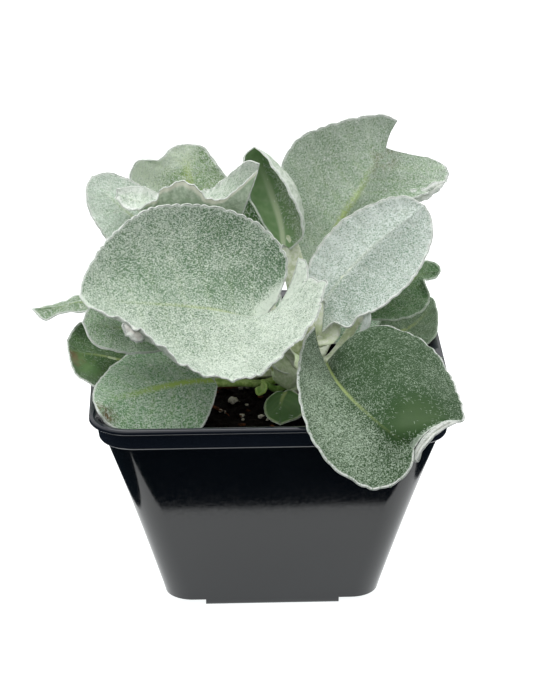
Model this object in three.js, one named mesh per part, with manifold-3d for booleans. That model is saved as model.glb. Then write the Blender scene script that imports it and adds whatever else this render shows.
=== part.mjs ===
import * as THREE from 'three';
import Module from 'manifold-3d';

// A silver-leaved bedding plant in a square black nursery pot.
// Millimetres, +Z up. The pot stands on z = 0 and its front faces -Y.

const wasm = await Module();
wasm.setup();

// Driving dimensions of the pot
const potWidth = 114;
const potHeight = 73.2;
const potFootWidth = 68.4;
const wall = 1.3;
const lipDepth = 1.8;
const bandDepth = 8.5;
const bandWidth = 108.6;
const bodyWidth = 104.4;
const topCorner = 11;
const footCorner = 9;
const floorThickness = 1.6;
const cornerRise = 2.3;
const cornerFrom = 21.5;
const drainRadius = 3.2;

// Soil
const soilLevel = 63.6;
const soilGap = 0.3;
const grainCount = 16;

// Crown that all the leaf stalks stand around
const crown = { x: 10.5, y: -2, radius: 5.4, foot: 50, top: 84, tip: 97 };
const stalkGap = 0.45;

// Leaf blades
const bladeThickness = 0.9;
const stalkHalfHeight = 1.15;
const ribSeat = 0.3;
const ribReach = 0.6;
const joinTolerance = 0.04;

// Each leaf is drawn by curves in space: its stalk, its rib, and its two margins from the
// base of the blade to the tip. Left and right are as seen on the upper face, tip away.
// root is [turn about the crown in degrees, height]. The stalk's half widths run root to blade.
// belly is how far each half sinks below the straight line from rib to margin, as a share of it.

const leaves = {
  leaf_front_left: {
    root: [250, 72],
    stalkWidth: [2.2, 4.2, 3],
    stalk: [[5.5, -10, 78.5]],
    rib: [[-2, -14, 90.5], [-9.5, -17, 94], [-18.5, -20, 98], [-34.5, -24, 101.5], [-50, -27, 104],
      [-59, -29, 106.5]],
    left: [[9, -15, 112.5], [13, -18, 110.5], [17, -22, 106.5], [14.5, -33, 101.5], [5, -44, 95],
      [-5.5, -50, 88.5], [-16, -51, 88], [-26.5, -50, 91], [-36, -46, 97], [-45, -41, 102],
      [-55.5, -34, 104.5], [-59, -29, 106.5]],
    right: [[2.5, -10, 96], [5.5, -4, 107], [-1.5, 0, 116.5], [-13.5, 1.5, 122.5], [-27, 1, 124.5],
      [-39, -3, 124], [-50.5, -11, 117.5], [-57.5, -22, 110.5], [-59, -29, 106.5]],
    belly: { left: [0.15, 0.12, 0.08, 0.05], right: [0.16, 0.2, 0.18, 0.1] },
    teeth: 19,
    toothDepth: 0.7,
    color: 0xb7c6ba,
  },
  leaf_right_pale: {
    root: [30, 76.5],
    stalkWidth: [2, 4, 2.8],
    stalk: [[18, 1, 79.5]],
    rib: [[18.5, 3, 91], [25, 7, 98], [34, 12, 105.5], [43, 17, 111], [52, 22, 116]],
    left: [[13.5, 7, 94.5], [17, 14, 103.5], [25, 19, 112], [35, 22, 116.5], [45, 24, 118.5],
      [52, 22, 116]],
    right: [[21.5, -1, 85], [30, -3, 86], [37.5, -1, 90.5], [47, 5, 97.5], [53, 13, 105.5],
      [54, 19, 112], [52, 22, 116]],
    belly: { left: [0.06, 0.1, 0.08], right: [0.06, 0.1, 0.08] },
    teeth: 14,
    toothDepth: 0.35,
    color: 0xcbd6ce,
  },
  leaf_back_tall: {
    root: [78, 76.5],
    stalkWidth: [1.9, 3, 2.6],
    stalk: [[17, 12, 80]],
    rib: [[19.5, 20, 97.5], [24.5, 26, 109], [30.5, 30, 117], [35.5, 35, 124], [40.5, 41, 129.5]],
    left: [[11.5, 21, 97], [7, 25, 105.5], [5, 27, 118.5], [6.5, 30, 128.5], [11.5, 33, 135.5],
      [20, 36, 138.5], [29, 39, 140], [39, 42, 140.5], [44.5, 44, 138]],
    right: [[26.5, 23, 97.5], [36.5, 28, 106], [45.5, 33, 113], [55.5, 38, 115.5], [61, 42, 118.5],
      [60.5, 45.5, 121.5], [55.5, 47, 124]],
    belly: { left: [0.08, 0.12, 0.08], right: [0.08, 0.12, 0.08] },
    teeth: 16,
    toothDepth: 0.6,
    color: 0xa3b59f,
  },
  leaf_back_folded: {
    root: [105, 81],
    stalkWidth: [1.8, 2.8, 2.2],
    stalk: [[8, 10, 88]],
    rib: [[5.5, 14, 106], [4.5, 19, 113], [1.5, 24, 121.5], [-1.5, 26, 129.5], [-3.5, 24, 136]],
    left: [[3.5, 14, 107.5], [0, 14, 113], [-4.5, 16, 121], [-6.5, 18, 129], [-6.5, 20, 134.5],
      [-3.5, 24, 136]],
    right: [[9.5, 12, 106.5], [11.5, 9, 113], [8.5, 9, 122.5], [3, 14, 131], [-1, 20, 135],
      [-3.5, 24, 136]],
    belly: { left: [0.25, 0.3, 0.2], right: [0.25, 0.3, 0.2] },
    teeth: 8,
    toothDepth: 0.3,
    color: 0x86a077,
  },
  leaf_top_wavy: {
    root: [152, 76.5],
    stalkWidth: [1.6, 1.8, 1.8],
    stalk: [[-0.5, 9, 89]],
    rib: [[-9.5, 12, 114], [-18.5, 14, 116.5], [-28, 16, 117.5], [-37.5, 17, 119.5],
      [-48, 17, 123]],
    left: [[-3, 6, 134.5], [-7.5, 5.5, 130.5], [-12.5, 5, 126.5], [-17.5, 5, 125], [-22, 5, 128.5],
      [-25.5, 6, 131], [-29.5, 7, 130], [-34, 8, 127.5], [-36, 9, 124], [-44, 13, 119.5],
      [-48.5, 16, 122.5]],
    right: [[-2.5, 12, 134.5], [-6.5, 14, 134.5], [-13, 19, 127.5], [-19.5, 22, 122],
      [-30.5, 23, 120], [-41, 21, 124], [-48, 18, 124.5]],
    belly: { left: [0.12, 0.2, 0.16], right: [0.12, 0.2, 0.16] },
    teeth: 12,
    toothDepth: 0.5,
    color: 0xa9bca9,
  },
  leaf_back_left: {
    root: [108, 71.5],
    stalkWidth: [1.6, 1.7, 1.7],
    stalk: [[-8.5, 26, 85.5]],
    rib: [[-21.5, 36, 105], [-23.5, 40, 111], [-25, 44, 118], [-25.5, 48, 124], [-25, 51, 128]],
    left: [[-26.5, 36, 105], [-32.5, 35, 107.5], [-39.5, 36, 112.5], [-44, 38, 120.5],
      [-41.5, 41, 126], [-34.5, 45, 125], [-25, 51, 128]],
    right: [[-16, 36, 105.5], [-9.5, 38, 109], [-8, 40, 115], [-13, 44, 119.5], [-18.5, 48, 124.5],
      [-25, 51, 128]],
    belly: { left: [0.12, 0.14, 0.1], right: [0.12, 0.14, 0.1] },
    teeth: 9,
    toothDepth: 0.3,
    color: 0xa3b39a,
  },
  leaf_far_left: {
    root: [142, 71.5],
    stalkWidth: [1.6, 1.7, 1.7],
    stalk: [[-12, 8, 86]],
    rib: [[-25, 13, 100], [-34.5, 17, 107], [-42.5, 21, 113.5], [-50, 25, 119], [-56.5, 28, 125.5]],
    left: [[-28.5, 11, 98.5], [-35.5, 8, 99], [-44.5, 8, 103], [-51.5, 12, 110], [-57, 18, 117.5],
      [-58, 23, 123], [-56.5, 28, 125.5]],
    right: [[-23, 16, 103], [-25, 20, 107.5], [-29.5, 27, 112.5], [-35, 31, 117], [-41.5, 32, 121],
      [-50.5, 31, 125.5], [-56.5, 28, 125.5]],
    belly: { left: [0.08, 0.1, 0.08], right: [0.08, 0.1, 0.08] },
    teeth: 11,
    toothDepth: 0.3,
    color: 0xb1c2b1,
  },
  leaf_edge_on_left: {
    root: [175, 71],
    stalkWidth: [1.4, 1.5, 1.3],
    stalk: [[-12.5, -1, 75.5]],
    rib: [[-38, 3, 85.5], [-51, 4, 89.5], [-60.5, 4, 91.5], [-69, 3, 90], [-76, 2, 90]],
    left: [[-39.5, 0, 85], [-51, -2, 89], [-60.5, -3, 91], [-66.5, -2, 90], [-72, -2, 88],
      [-76, 2, 90]],
    right: [[-40, 7, 87], [-51, 9, 90.5], [-61, 10, 91], [-66.5, 8, 90], [-72, 6, 89],
      [-76, 2, 90]],
    belly: { left: [0.1], right: [0.1] },
    teeth: 7,
    toothDepth: 0.2,
    color: 0xa5b39d,
  },
  leaf_under_left: {
    root: [208, 71.5],
    stalkWidth: [1.5, 1.6, 1.5],
    stalk: [[-12.5, -14, 77]],
    rib: [[-31.5, -18, 90], [-39.5, -22, 92.5], [-46.5, -25, 94], [-53.5, -27, 96],
      [-58.5, -28, 97.5]],
    left: [[-30.5, -21, 88], [-34, -27, 87.5], [-41, -32, 88.5], [-49.5, -34, 90.5],
      [-55.5, -33, 93], [-58.5, -28, 97.5]],
    right: [[-32, -15, 92], [-38.5, -14, 95], [-48, -15, 97.5], [-56, -20, 99], [-58.5, -28, 97.5]],
    belly: { left: [0.08], right: [0.08] },
    teeth: 8,
    toothDepth: 0.25,
    color: 0x8ba58c,
  },
  leaf_dark_left: {
    root: [180, 66.8],
    stalkWidth: [1.4, 1.5, 1.5],
    stalk: [[-22.5, -6, 68]],
    rib: [[-41.5, -10, 75.5], [-48, -12, 78], [-54, -13, 80], [-60, -14, 81], [-64, -15, 82.5]],
    left: [[-42, -16, 74.5], [-45, -23, 74], [-51.5, -29, 75], [-56, -32, 78], [-61.5, -27, 80.5],
      [-64, -15, 82.5]],
    right: [[-42.5, -4, 78], [-46.5, 0, 81.5], [-54, 4, 84], [-60, 3, 84.5], [-64, -6, 83],
      [-64, -15, 82.5]],
    belly: { left: [0.08], right: [0.08] },
    teeth: 9,
    toothDepth: 0.5,
    color: 0x5f7f5c,
  },
  leaf_low_left: {
    root: [214, 66.8],
    stalkWidth: [1.5, 1.7, 1.7],
    stalk: [[-2.5, -12, 69], [-10.5, -18, 72.5]],
    rib: [[-18, -22, 74.5], [-27, -27, 76], [-35.5, -32, 76.5], [-46, -38, 76.5],
      [-55.5, -43, 77.5]],
    left: [[-17, -24, 73], [-18.5, -31, 70.5], [-22, -42, 68], [-29, -47, 65], [-41.5, -49, 66.5],
      [-49, -48.5, 70.5], [-53.5, -50, 76.5], [-55.5, -43, 77.5]],
    right: [[-19, -17, 76.5], [-24, -11, 78.5], [-32.5, -8, 80.5], [-42.5, -12, 80.5],
      [-50, -22, 79.5], [-55, -34, 78], [-55.5, -43, 77.5]],
    belly: { left: [0.0, -0.04], right: [0.0, -0.04] },
    teeth: 12,
    toothDepth: 0.4,
    color: 0x86a08a,
  },
  leaf_over_rim: {
    root: [308, 71],
    stalkWidth: [1.9, 2.8, 2.3],
    stalk: [[15.5, -13, 74]],
    rib: [[17.5, -21, 79.5], [20, -36, 79.5], [23.5, -47, 79], [28, -57, 78], [34.5, -66, 75.5],
      [41.5, -69, 71.5]],
    left: [[23, -19, 82], [27, -18, 87.5], [35, -16, 89.5], [44, -18, 87.5], [51, -24, 84.5],
      [55.5, -34, 80], [57.5, -46, 77], [57.5, -56, 74.5], [51, -62, 76.5], [45, -67, 75.5],
      [41.5, -69, 71.5]],
    right: [[14, -20, 91], [10.5, -28, 89.5], [8, -45, 85.5], [8.5, -58, 80.5], [11, -67, 75],
      [15.5, -72, 69.5], [20.5, -75, 66], [28.5, -77, 62.5], [35, -76, 63.5], [40, -74, 67.5],
      [41.5, -69, 71.5]],
    belly: { left: [-0.1, -0.15, -0.1], right: [0.05, 0.08] },
    teeth: 17,
    toothDepth: 0.45,
    color: 0x8fa58d,
  },
  leaf_small_front: {
    root: [287, 66.8],
    stalkWidth: [1, 1.1, 1.1],
    stalk: [[6.5, -12, 66.5]],
    rib: [[5, -16, 67.5], [3.5, -22, 67.5], [2.5, -30, 67]],
    left: [[7, -17, 68], [10.5, -21, 66.5], [9.5, -32, 66.5], [2.5, -36, 65]],
    right: [[2, -17, 67.5], [-1, -19, 66], [-2, -24, 65], [-1, -32, 65.5], [2.5, -36, 65]],
    belly: { left: [0.0], right: [0.0] },
    teeth: 5,
    toothDepth: 0.15,
    color: 0x4f7f35,
  },
  leaf_bud_front: {
    root: [244, 66.6],
    stalkWidth: [0.9, 0.9, 0.9],
    stalk: [[2, -12.5, 67.5]],
    rib: [[-3, -16, 70.5], [-2.5, -20, 70], [-4, -23, 69.5]],
    left: [[-3, -16, 71], [-1.5, -19, 71], [-2, -23, 70.5], [-4, -23, 69.5]],
    right: [[-3, -16, 69.5], [-4.5, -20, 70.5], [-4.5, -22, 70], [-4, -23, 69.5]],
    belly: { left: [0.0], right: [0.0] },
    teeth: 3,
    toothDepth: 0,
    color: 0x6f9c33,
  },
  leaf_right_curled: {
    root: [2, 71.5],
    stalkWidth: [1.6, 1.7, 1.6],
    stalk: [[23.5, 6, 73.5]],
    rib: [[31, 12, 83], [39, 16, 86], [46, 20, 89], [51, 24, 91], [56, 26, 91.5]],
    left: [[32.5, 17, 88], [37, 21, 90.5], [43, 26, 92.5], [50, 29, 93.5], [55.5, 29, 93.5],
      [58, 27, 92]],
    right: [[34.5, 10, 81], [38.5, 9, 81.5], [43, 9, 81.5], [50.5, 12, 83], [53.5, 16, 86],
      [52, 20, 90.5], [58, 24, 90.5]],
    belly: { left: [0.1], right: [0.1] },
    teeth: 8,
    toothDepth: 0.3,
    color: 0x8aa287,
  },
  leaf_right_low: {
    root: [28, 67],
    stalkWidth: [1.5, 1.6, 1.5],
    stalk: [[27, 6, 67.5]],
    rib: [[35.5, 12, 72.5], [42.5, 15, 74], [48.5, 19, 75], [53, 24, 77], [56.5, 29, 79.5]],
    left: [[36, 16, 74.5], [39.5, 22, 77], [45, 29, 80], [52, 33, 81], [56.5, 31, 79.5]],
    right: [[37.5, 10, 71], [43, 8, 70], [49.5, 7, 72], [55, 9, 75.5], [56.5, 19, 78.5],
      [56.5, 29, 79.5]],
    belly: { left: [0.1], right: [0.1] },
    teeth: 7,
    toothDepth: 0.2,
    color: 0x7f9778,
  },
  leaf_back_shaded: {
    root: [118, 76.5],
    stalkWidth: [1.4, 1.6, 1.5],
    stalk: [[-1.5, 20, 88]],
    rib: [[-5, 28, 99], [-8, 32, 106.5], [-10.5, 35, 112.5], [-12, 37, 116.5]],
    left: [[-9.5, 28, 99.5], [-14, 30, 103.5], [-17, 31, 108.5], [-16, 34, 114.5],
      [-12, 37, 116.5]],
    right: [[-2.5, 28, 99.5], [-0.5, 29, 103], [-1, 31, 107.5], [-5.5, 34, 112.5],
      [-12, 37, 116.5]],
    belly: { left: [0.12], right: [0.12] },
    teeth: 6,
    toothDepth: 0.3,
    color: 0x5f8059,
  },
  leaf_low_back_left: {
    root: [128, 67],
    stalkWidth: [1.5, 1.7, 1.6],
    stalk: [[2, 12, 72]],
    rib: [[-4, 22, 76], [-10, 30, 79], [-17, 38, 81], [-24, 46, 81], [-31, 53, 78]],
    left: [[-8, 19.5, 76], [-14, 20, 76.5], [-21, 23, 78], [-30, 31, 80], [-36, 42, 81],
      [-36, 50, 79], [-31, 53, 78]],
    right: [[0, 24.5, 76], [4, 30, 77], [5, 37, 79], [0, 47, 80], [-10, 54, 80], [-22, 56, 79],
      [-31, 53, 78]],
    belly: { left: [0.06, 0.08], right: [0.06, 0.08] },
    teeth: 8,
    toothDepth: 0.4,
    color: 0x86a08a,
  },
  leaf_low_back_right: {
    root: [62, 67],
    stalkWidth: [1.5, 1.7, 1.6],
    stalk: [[17, 9, 69]],
    rib: [[20, 19, 70], [23, 26, 71], [26, 33, 72], [29, 40, 72.5], [32, 46, 71.5]],
    left: [[15.5, 20, 70], [11.5, 25, 70.5], [10.5, 31, 72], [14, 38, 72.5], [21, 44, 73],
      [27, 47, 72.5], [32, 46, 71.5]],
    right: [[25, 18.5, 69.5], [31, 20.5, 69.5], [36.5, 26, 70.5], [40, 34, 71.5], [40.5, 41, 71.5],
      [37, 46, 71.5], [32, 46, 71.5]],
    belly: { left: [0.06, 0.08], right: [0.06, 0.08] },
    teeth: 8,
    toothDepth: 0.4,
    color: 0x86a08a,
  },
};

// A list of points as a smooth curve through them
function curveThrough(points) {
  const vectors = points.map(([x, y, z]) => new THREE.Vector3(x, y, z));
  return new THREE.CatmullRomCurve3(vectors, false, 'catmullrom', 0.5);
}

// A smooth run through a few values, at u from 0 to 1
function blend(values, u) {
  const at = Math.min(Math.max(u, 0), 1) * (values.length - 1);
  const low = Math.min(Math.floor(at), values.length - 1);
  const high = Math.min(low + 1, values.length - 1);
  const t = at - low;
  return values[low] + (values[high] - values[low]) * t * t * (3 - 2 * t);
}

// Turn a closed surface into a solid that can be joined and cut
function solidFrom(positions, triangles) {
  const vertProperties = new Float32Array(positions);
  const triVerts = new Uint32Array(triangles);
  const mesh = new wasm.Mesh({ numProp: 3, vertProperties, triVerts });
  mesh.merge();
  return new wasm.Manifold(mesh);
}

function solidFromGeometry(geometry) {
  const source = geometry.index ? geometry.toNonIndexed() : geometry;
  const positions = Array.from(source.attributes.position.array);
  const triangles = positions.slice(0, positions.length / 3).map((value, index) => index);
  return solidFrom(positions, triangles);
}

function meshFrom(solid, name, material) {
  const result = solid.getMesh();
  const geometry = new THREE.BufferGeometry();
  const positions = new Float32Array(result.vertProperties);
  geometry.setAttribute('position', new THREE.BufferAttribute(positions, 3));
  geometry.setIndex(Array.from(result.triVerts));
  geometry.computeVertexNormals();
  const mesh = new THREE.Mesh(geometry, material);
  mesh.name = name;
  return mesh;
}

// The blade as a grid of points. Row i runs from left margin over the rib to right margin.
function bladeRows(leaf, rowCount, across) {
  const rib = curveThrough(leaf.rib);
  const margins = { left: curveThrough(leaf.left), right: curveThrough(leaf.right) };
  const normals = { left: sideNormals(rib, margins.left, -1), right: sideNormals(rib, margins.right, 1) };
  const rows = [];
  for (let i = 0; i <= rowCount; i += 1) {
    const u = i / rowCount;
    const rise = i % 2 === 1 ? leaf.toothDepth * Math.min(1, 4 * u, 6 * (1 - u)) : 0;
    const left = halfRow(leaf, 'left', rib, margins, normals, u, across, rise);
    const right = halfRow(leaf, 'right', rib, margins, normals, u, across, rise);
    rows.push([...left.slice(1).reverse(), rib.getPointAt(u), ...right.slice(1)]);
  }
  return rows;
}

// Upper-face directions of one half, gathered along the rib
function sideNormals(rib, margin, side) {
  const found = [];
  const count = 40;
  for (let i = 0; i <= count; i += 1) {
    const u = i / count;
    const reach = margin.getPointAt(u).sub(rib.getPointAt(u));
    found.push(reach.cross(rib.getTangentAt(u)).multiplyScalar(side));
  }
  return found;
}

// The same directions smoothed about u and squared to the reach from rib to margin
function normalAt(found, u, reach) {
  const sum = new THREE.Vector3();
  found.forEach((vector, index) => {
    const away = (index / (found.length - 1) - u) / 0.16;
    sum.addScaledVector(vector, Math.exp(-away * away));
  });
  const along = reach.clone().normalize();
  sum.normalize();
  sum.addScaledVector(along, -sum.dot(along));
  return sum.normalize();
}

function halfRow(leaf, side, rib, margins, normals, u, across, rise) {
  const start = rib.getPointAt(u);
  const reach = margins[side].getPointAt(u).sub(start);
  const length = reach.length();
  const normal = normalAt(normals[side], u, reach);
  const sink = blend(leaf.belly[side], u) * length * 4;
  return across.map((a) => {
    const outward = a + (length > 1 ? (rise * a ** 8) / length : 0);
    const point = start.clone().addScaledVector(reach, outward);
    return point.addScaledVector(normal, -sink * a * (1 - a));
  });
}

// A solid with corners closer than the tolerance drawn together into one
function welded(solid) {
  const source = solid.getMesh();
  const corners = [];
  const shared = [];
  for (let i = 0; i < source.vertProperties.length; i += 3) {
    const corner = new THREE.Vector3().fromArray(source.vertProperties, i);
    const near = corners.findIndex((other) => other.distanceTo(corner) < joinTolerance);
    shared.push(near < 0 ? corners.length : near);
    if (near < 0) corners.push(corner);
  }
  const triangles = [];
  for (let i = 0; i < source.triVerts.length; i += 3) {
    const [a, b, c] = [0, 1, 2].map((k) => shared[source.triVerts[i + k]]);
    if (a !== b && b !== c && a !== c) triangles.push(a, b, c);
  }
  return solidFrom(corners.flatMap((corner) => corner.toArray()), triangles);
}

// Directions square to the grid, for giving the blade its thickness
function gridNormals(rows) {
  return rows.map((row, i) => row.map((point, j) => {
    const before = rows[Math.max(i - 1, 0)][j];
    const after = rows[Math.min(i + 1, rows.length - 1)][j];
    const left = row[Math.max(j - 1, 0)];
    const right = row[Math.min(j + 1, row.length - 1)];
    const across = right.clone().sub(left);
    const along = after.clone().sub(before);
    return across.cross(along).normalize();
  }));
}

// Steps from rib to margin, more of them on the larger leaves
function acrossFor(teeth) {
  if (teeth > 16) return [0, 0.3, 0.6, 0.84, 1];
  return teeth > 8 ? [0, 0.4, 0.76, 1] : [0, 0.55, 1];
}

// A closed blade: upper face, lower face split alike, and a rim. A pointed leaf ends in one point,
// and a notched one in a last row like the others.
function bladeSolid(leaf) {
  const rowCount = leaf.teeth * 2;
  const across = acrossFor(leaf.teeth);
  const rows = bladeRows(leaf, rowCount, across);
  const normals = gridNormals(rows);
  const width = rows[0].length;
  const middle = across.length - 1;
  const tipWidth = rows[rowCount][0].distanceTo(rows[rowCount][width - 1]);
  const pointed = tipWidth < 0.5;
  const positions = [];
  const face = (offset) => {
    const ids = [];
    rows.forEach((row, i) => {
      if (pointed && i === rowCount) {
        const tip = row[middle].clone().addScaledVector(normals[i - 1][middle], offset);
        positions.push(tip.x, tip.y, tip.z);
        ids.push(row.map(() => positions.length / 3 - 1));
        return;
      }
      ids.push(row.map((point, j) => {
        const at = point.clone().addScaledVector(normals[i][j], offset);
        positions.push(at.x, at.y, at.z);
        return positions.length / 3 - 1;
      }));
    });
    return ids;
  };
  const upper = face(0);
  const lower = face(-bladeThickness);
  const triangles = [];
  const addTriangle = (a, b, c) => {
    if (a !== b && b !== c && a !== c) triangles.push(a, b, c);
  };
  const addQuad = (a, b, c, d) => {
    addTriangle(a, b, c);
    addTriangle(a, c, d);
  };
  for (let i = 0; i < rowCount; i += 1) {
    for (let j = 0; j + 1 < width; j += 1) {
      addQuad(upper[i][j], upper[i][j + 1], upper[i + 1][j + 1], upper[i + 1][j]);
      addTriangle(lower[i][j], lower[i + 1][j + 1], lower[i][j + 1]);
      addTriangle(lower[i][j], lower[i + 1][j], lower[i + 1][j + 1]);
    }
    addQuad(lower[i][0], upper[i][0], upper[i + 1][0], lower[i + 1][0]);
    addQuad(upper[i][width - 1], lower[i][width - 1], lower[i + 1][width - 1], upper[i + 1][width - 1]);
  }
  for (let j = 0; j + 1 < width; j += 1) {
    addQuad(lower[0][j], lower[0][j + 1], upper[0][j + 1], upper[0][j]);
    if (!pointed) {
      const last = rowCount;
      addQuad(upper[last][j], upper[last][j + 1], lower[last][j + 1], lower[last][j]);
    }
  }
  return solidFrom(positions, triangles);
}

// Where a stalk starts: just clear of the crown, heading straight out of it
function stalkPath(leaf) {
  const [turn, height] = leaf.root;
  const angle = THREE.MathUtils.degToRad(turn);
  const ring = (radius, rise) => [
    crown.x + radius * Math.cos(angle),
    crown.y + radius * Math.sin(angle),
    height + rise,
  ];
  const start = ring(crown.radius + stalkGap, 0);
  const clear = ring(crown.radius + 3.2, 0.8);
  return [start, clear, ...leaf.stalk, leaf.rib[0]];
}

// Flattened tube along the stalk that runs on beneath the rib and dies away
function stalkSolid(leaf) {
  const path = curveThrough(stalkPath(leaf));
  const rib = curveThrough(leaf.rib);
  const margins = { left: curveThrough(leaf.left), right: curveThrough(leaf.right) };
  const found = sideNormals(rib, margins.right, 1);
  sideNormals(rib, margins.left, -1).forEach((vector, index) => found[index].add(vector));
  const bladeUp = (u) => normalAt(found, u, rib.getTangentAt(u));
  const rings = [];
  const sides = 6;
  const steps = 7;
  const under = 5;
  const baseWidth = leaf.stalkWidth[leaf.stalkWidth.length - 1];
  const addRing = (centre, tangent, up, halfWidth, halfHeight) => {
    const normal = up.clone().addScaledVector(tangent, -up.dot(tangent)).normalize();
    const sideways = tangent.clone().cross(normal);
    const ring = [];
    for (let k = 0; k < sides; k += 1) {
      const angle = (k / sides) * Math.PI * 2;
      const point = centre.clone();
      point.addScaledVector(sideways, Math.cos(angle) * halfWidth);
      point.addScaledVector(normal, Math.sin(angle) * halfHeight);
      ring.push(point);
    }
    rings.push(ring);
  };
  const first = path.getTangentAt(0);
  const rootUp = new THREE.Vector3(0, 0, 1).addScaledVector(first, -first.z).normalize();
  for (let i = 0; i < steps; i += 1) {
    const s = i / steps;
    const up = rootUp.clone().lerp(bladeUp(0), s ** 1.5).normalize();
    const centre = path.getPointAt(s).addScaledVector(up, -s * (stalkHalfHeight + ribSeat));
    addRing(centre, path.getTangentAt(s), up, blend(leaf.stalkWidth, s), stalkHalfHeight);
  }
  for (let i = 0; i <= under; i += 1) {
    const t = i / under;
    const u = t * ribReach;
    const up = bladeUp(u);
    const fade = 1 - t;
    const halfHeight = 0.5 + (stalkHalfHeight - 0.5) * fade;
    const halfWidth = 0.6 + (baseWidth - 0.6) * fade ** 1.6;
    const centre = rib.getPointAt(u).addScaledVector(up, -halfHeight - ribSeat);
    addRing(centre, rib.getTangentAt(u), up, halfWidth, halfHeight);
  }
  return tubeSolid(rings);
}

// Close a run of rings with a fan at each end
function tubeSolid(rings) {
  const positions = [];
  rings.flat().forEach((point) => positions.push(point.x, point.y, point.z));
  const sides = rings[0].length;
  const triangles = [];
  for (let i = 0; i + 1 < rings.length; i += 1) {
    for (let k = 0; k < sides; k += 1) {
      const next = (k + 1) % sides;
      const a = i * sides + k;
      const b = i * sides + next;
      triangles.push(a, b, b + sides, a, b + sides, a + sides);
    }
  }
  for (let k = 1; k + 1 < sides; k += 1) {
    triangles.push(0, k + 1, k);
    const end = (rings.length - 1) * sides;
    triangles.push(end, end + k, end + k + 1);
  }
  const solid = solidFrom(positions, triangles);
  return solid.volume() > 0 ? solid : solidFrom(positions, triangles.reverse());
}

function makeLeaf(name, leaf, material) {
  const joined = bladeSolid(leaf).add(stalkSolid(leaf)).simplify(joinTolerance);
  return meshFrom(welded(joined), name, material);
}

// A square with round corners, walked round once
function roundedSquare(half, corner, height, steps = 5) {
  const points = [];
  for (let side = 0; side < 4; side += 1) {
    const turn = (side * Math.PI) / 2;
    for (let k = 0; k <= steps; k += 1) {
      const angle = turn + (k / steps) * (Math.PI / 2);
      const centreX = (half - corner) * Math.SQRT2 * Math.cos(turn + Math.PI / 4);
      const centreY = (half - corner) * Math.SQRT2 * Math.sin(turn + Math.PI / 4);
      points.push(new THREE.Vector3(
        centreX + corner * Math.cos(angle),
        centreY + corner * Math.sin(angle),
        height,
      ));
    }
  }
  return points;
}

// Half width of the body at a height, and its corner radius
function bodyHalf(height) {
  const share = height / (potHeight - bandDepth);
  return footHalf + (bodyWidth / 2 - footHalf) * share;
}

function cornerAt(height) {
  return footCorner + (topCorner - footCorner) * (height / potHeight);
}

const footHalf = potFootWidth / 2;
const bandFoot = potHeight - bandDepth;

// Outline of the pot's outside from the foot up, as [half width, height, corner]
function outsideSteps() {
  const bandHalf = bandWidth / 2;
  return [
    [footHalf - 0.8, 0, footCorner - 0.8],
    [footHalf, 1, footCorner],
    [bodyHalf(bandFoot), bandFoot, cornerAt(bandFoot)],
    [bandHalf - 0.5, bandFoot + 0.9, topCorner],
    [bandHalf + 0.4, potHeight - lipDepth - 0.7, topCorner + 0.4],
    [potWidth / 2 - 0.4, potHeight - lipDepth, topCorner + 1.4],
    [potWidth / 2, potHeight - lipDepth + 0.5, topCorner + 1.7],
    [potWidth / 2, potHeight - 0.6, topCorner + 1.7],
    [potWidth / 2 - 0.6, potHeight, topCorner + 1.1],
  ];
}

// The cavity from the floor up to the rim
function insideSteps(grow = 0) {
  const bandHalf = bandWidth / 2;
  return [
    [bodyHalf(floorThickness) - wall - grow, floorThickness + grow, footCorner - wall],
    [bodyHalf(bandFoot) - wall - grow, bandFoot, cornerAt(bandFoot) - wall],
    [bandHalf - wall - grow, bandFoot + 1.2, topCorner - wall],
    [bandHalf - wall + 0.6 - grow, potHeight - 1.2, topCorner - wall],
    [bandHalf - wall + 1.2 - grow, potHeight + 0.4, topCorner - wall + 0.6],
  ];
}

function loft(steps) {
  return tubeSolid(steps.map(([half, height, corner]) => roundedSquare(half, corner, height)));
}

// Four blocks, one over each corner of the base
function cornerBlocks(inner, outer, low, high) {
  const size = outer - inner;
  const middle = (outer + inner) / 2;
  let blocks = null;
  for (const [sx, sy] of [[1, 1], [-1, 1], [-1, -1], [1, -1]]) {
    const geometry = new THREE.BoxGeometry(size, size, high - low);
    geometry.translate(sx * middle, sy * middle, (high + low) / 2);
    const block = solidFromGeometry(geometry);
    blocks = blocks ? blocks.add(block) : block;
  }
  return blocks;
}

function drainHoles() {
  let holes = null;
  for (const [sx, sy] of [[1, 1], [-1, 1], [-1, -1], [1, -1]]) {
    const geometry = new THREE.CylinderGeometry(drainRadius, drainRadius, 8, 16);
    geometry.rotateX(Math.PI / 2);
    geometry.translate(sx * 27, sy * 27, cornerRise);
    const hole = solidFromGeometry(geometry);
    holes = holes ? holes.add(hole) : hole;
  }
  return holes;
}

function makePot() {
  const raised = cornerRise + floorThickness;
  const cavity = loft(insideSteps()).subtract(cornerBlocks(cornerFrom - wall, 40, 0, raised));
  const shell = loft(outsideSteps()).subtract(cavity);
  const stood = shell.subtract(cornerBlocks(cornerFrom, 40, -1, cornerRise));
  return meshFrom(stood.subtract(drainHoles()), 'pot', potMaterial());
}

// Seeded draws, so that the soil is the same every time
function seededDraws(seed) {
  let state = seed;
  return () => {
    state = (state * 1664525 + 1013904223) % 4294967296;
    return state / 4294967296;
  };
}

// Height of the soil: low swells with finer crumbs
function soilHeight(x, y) {
  const swell = 0.7 * Math.sin(x * 0.11 + 0.6) * Math.cos(y * 0.13 - 0.4);
  const crumbs = 0.45 * Math.sin(x * 0.83 + y * 0.37) * Math.sin(y * 0.91 - x * 0.29);
  return soilLevel + swell + crumbs;
}

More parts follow.
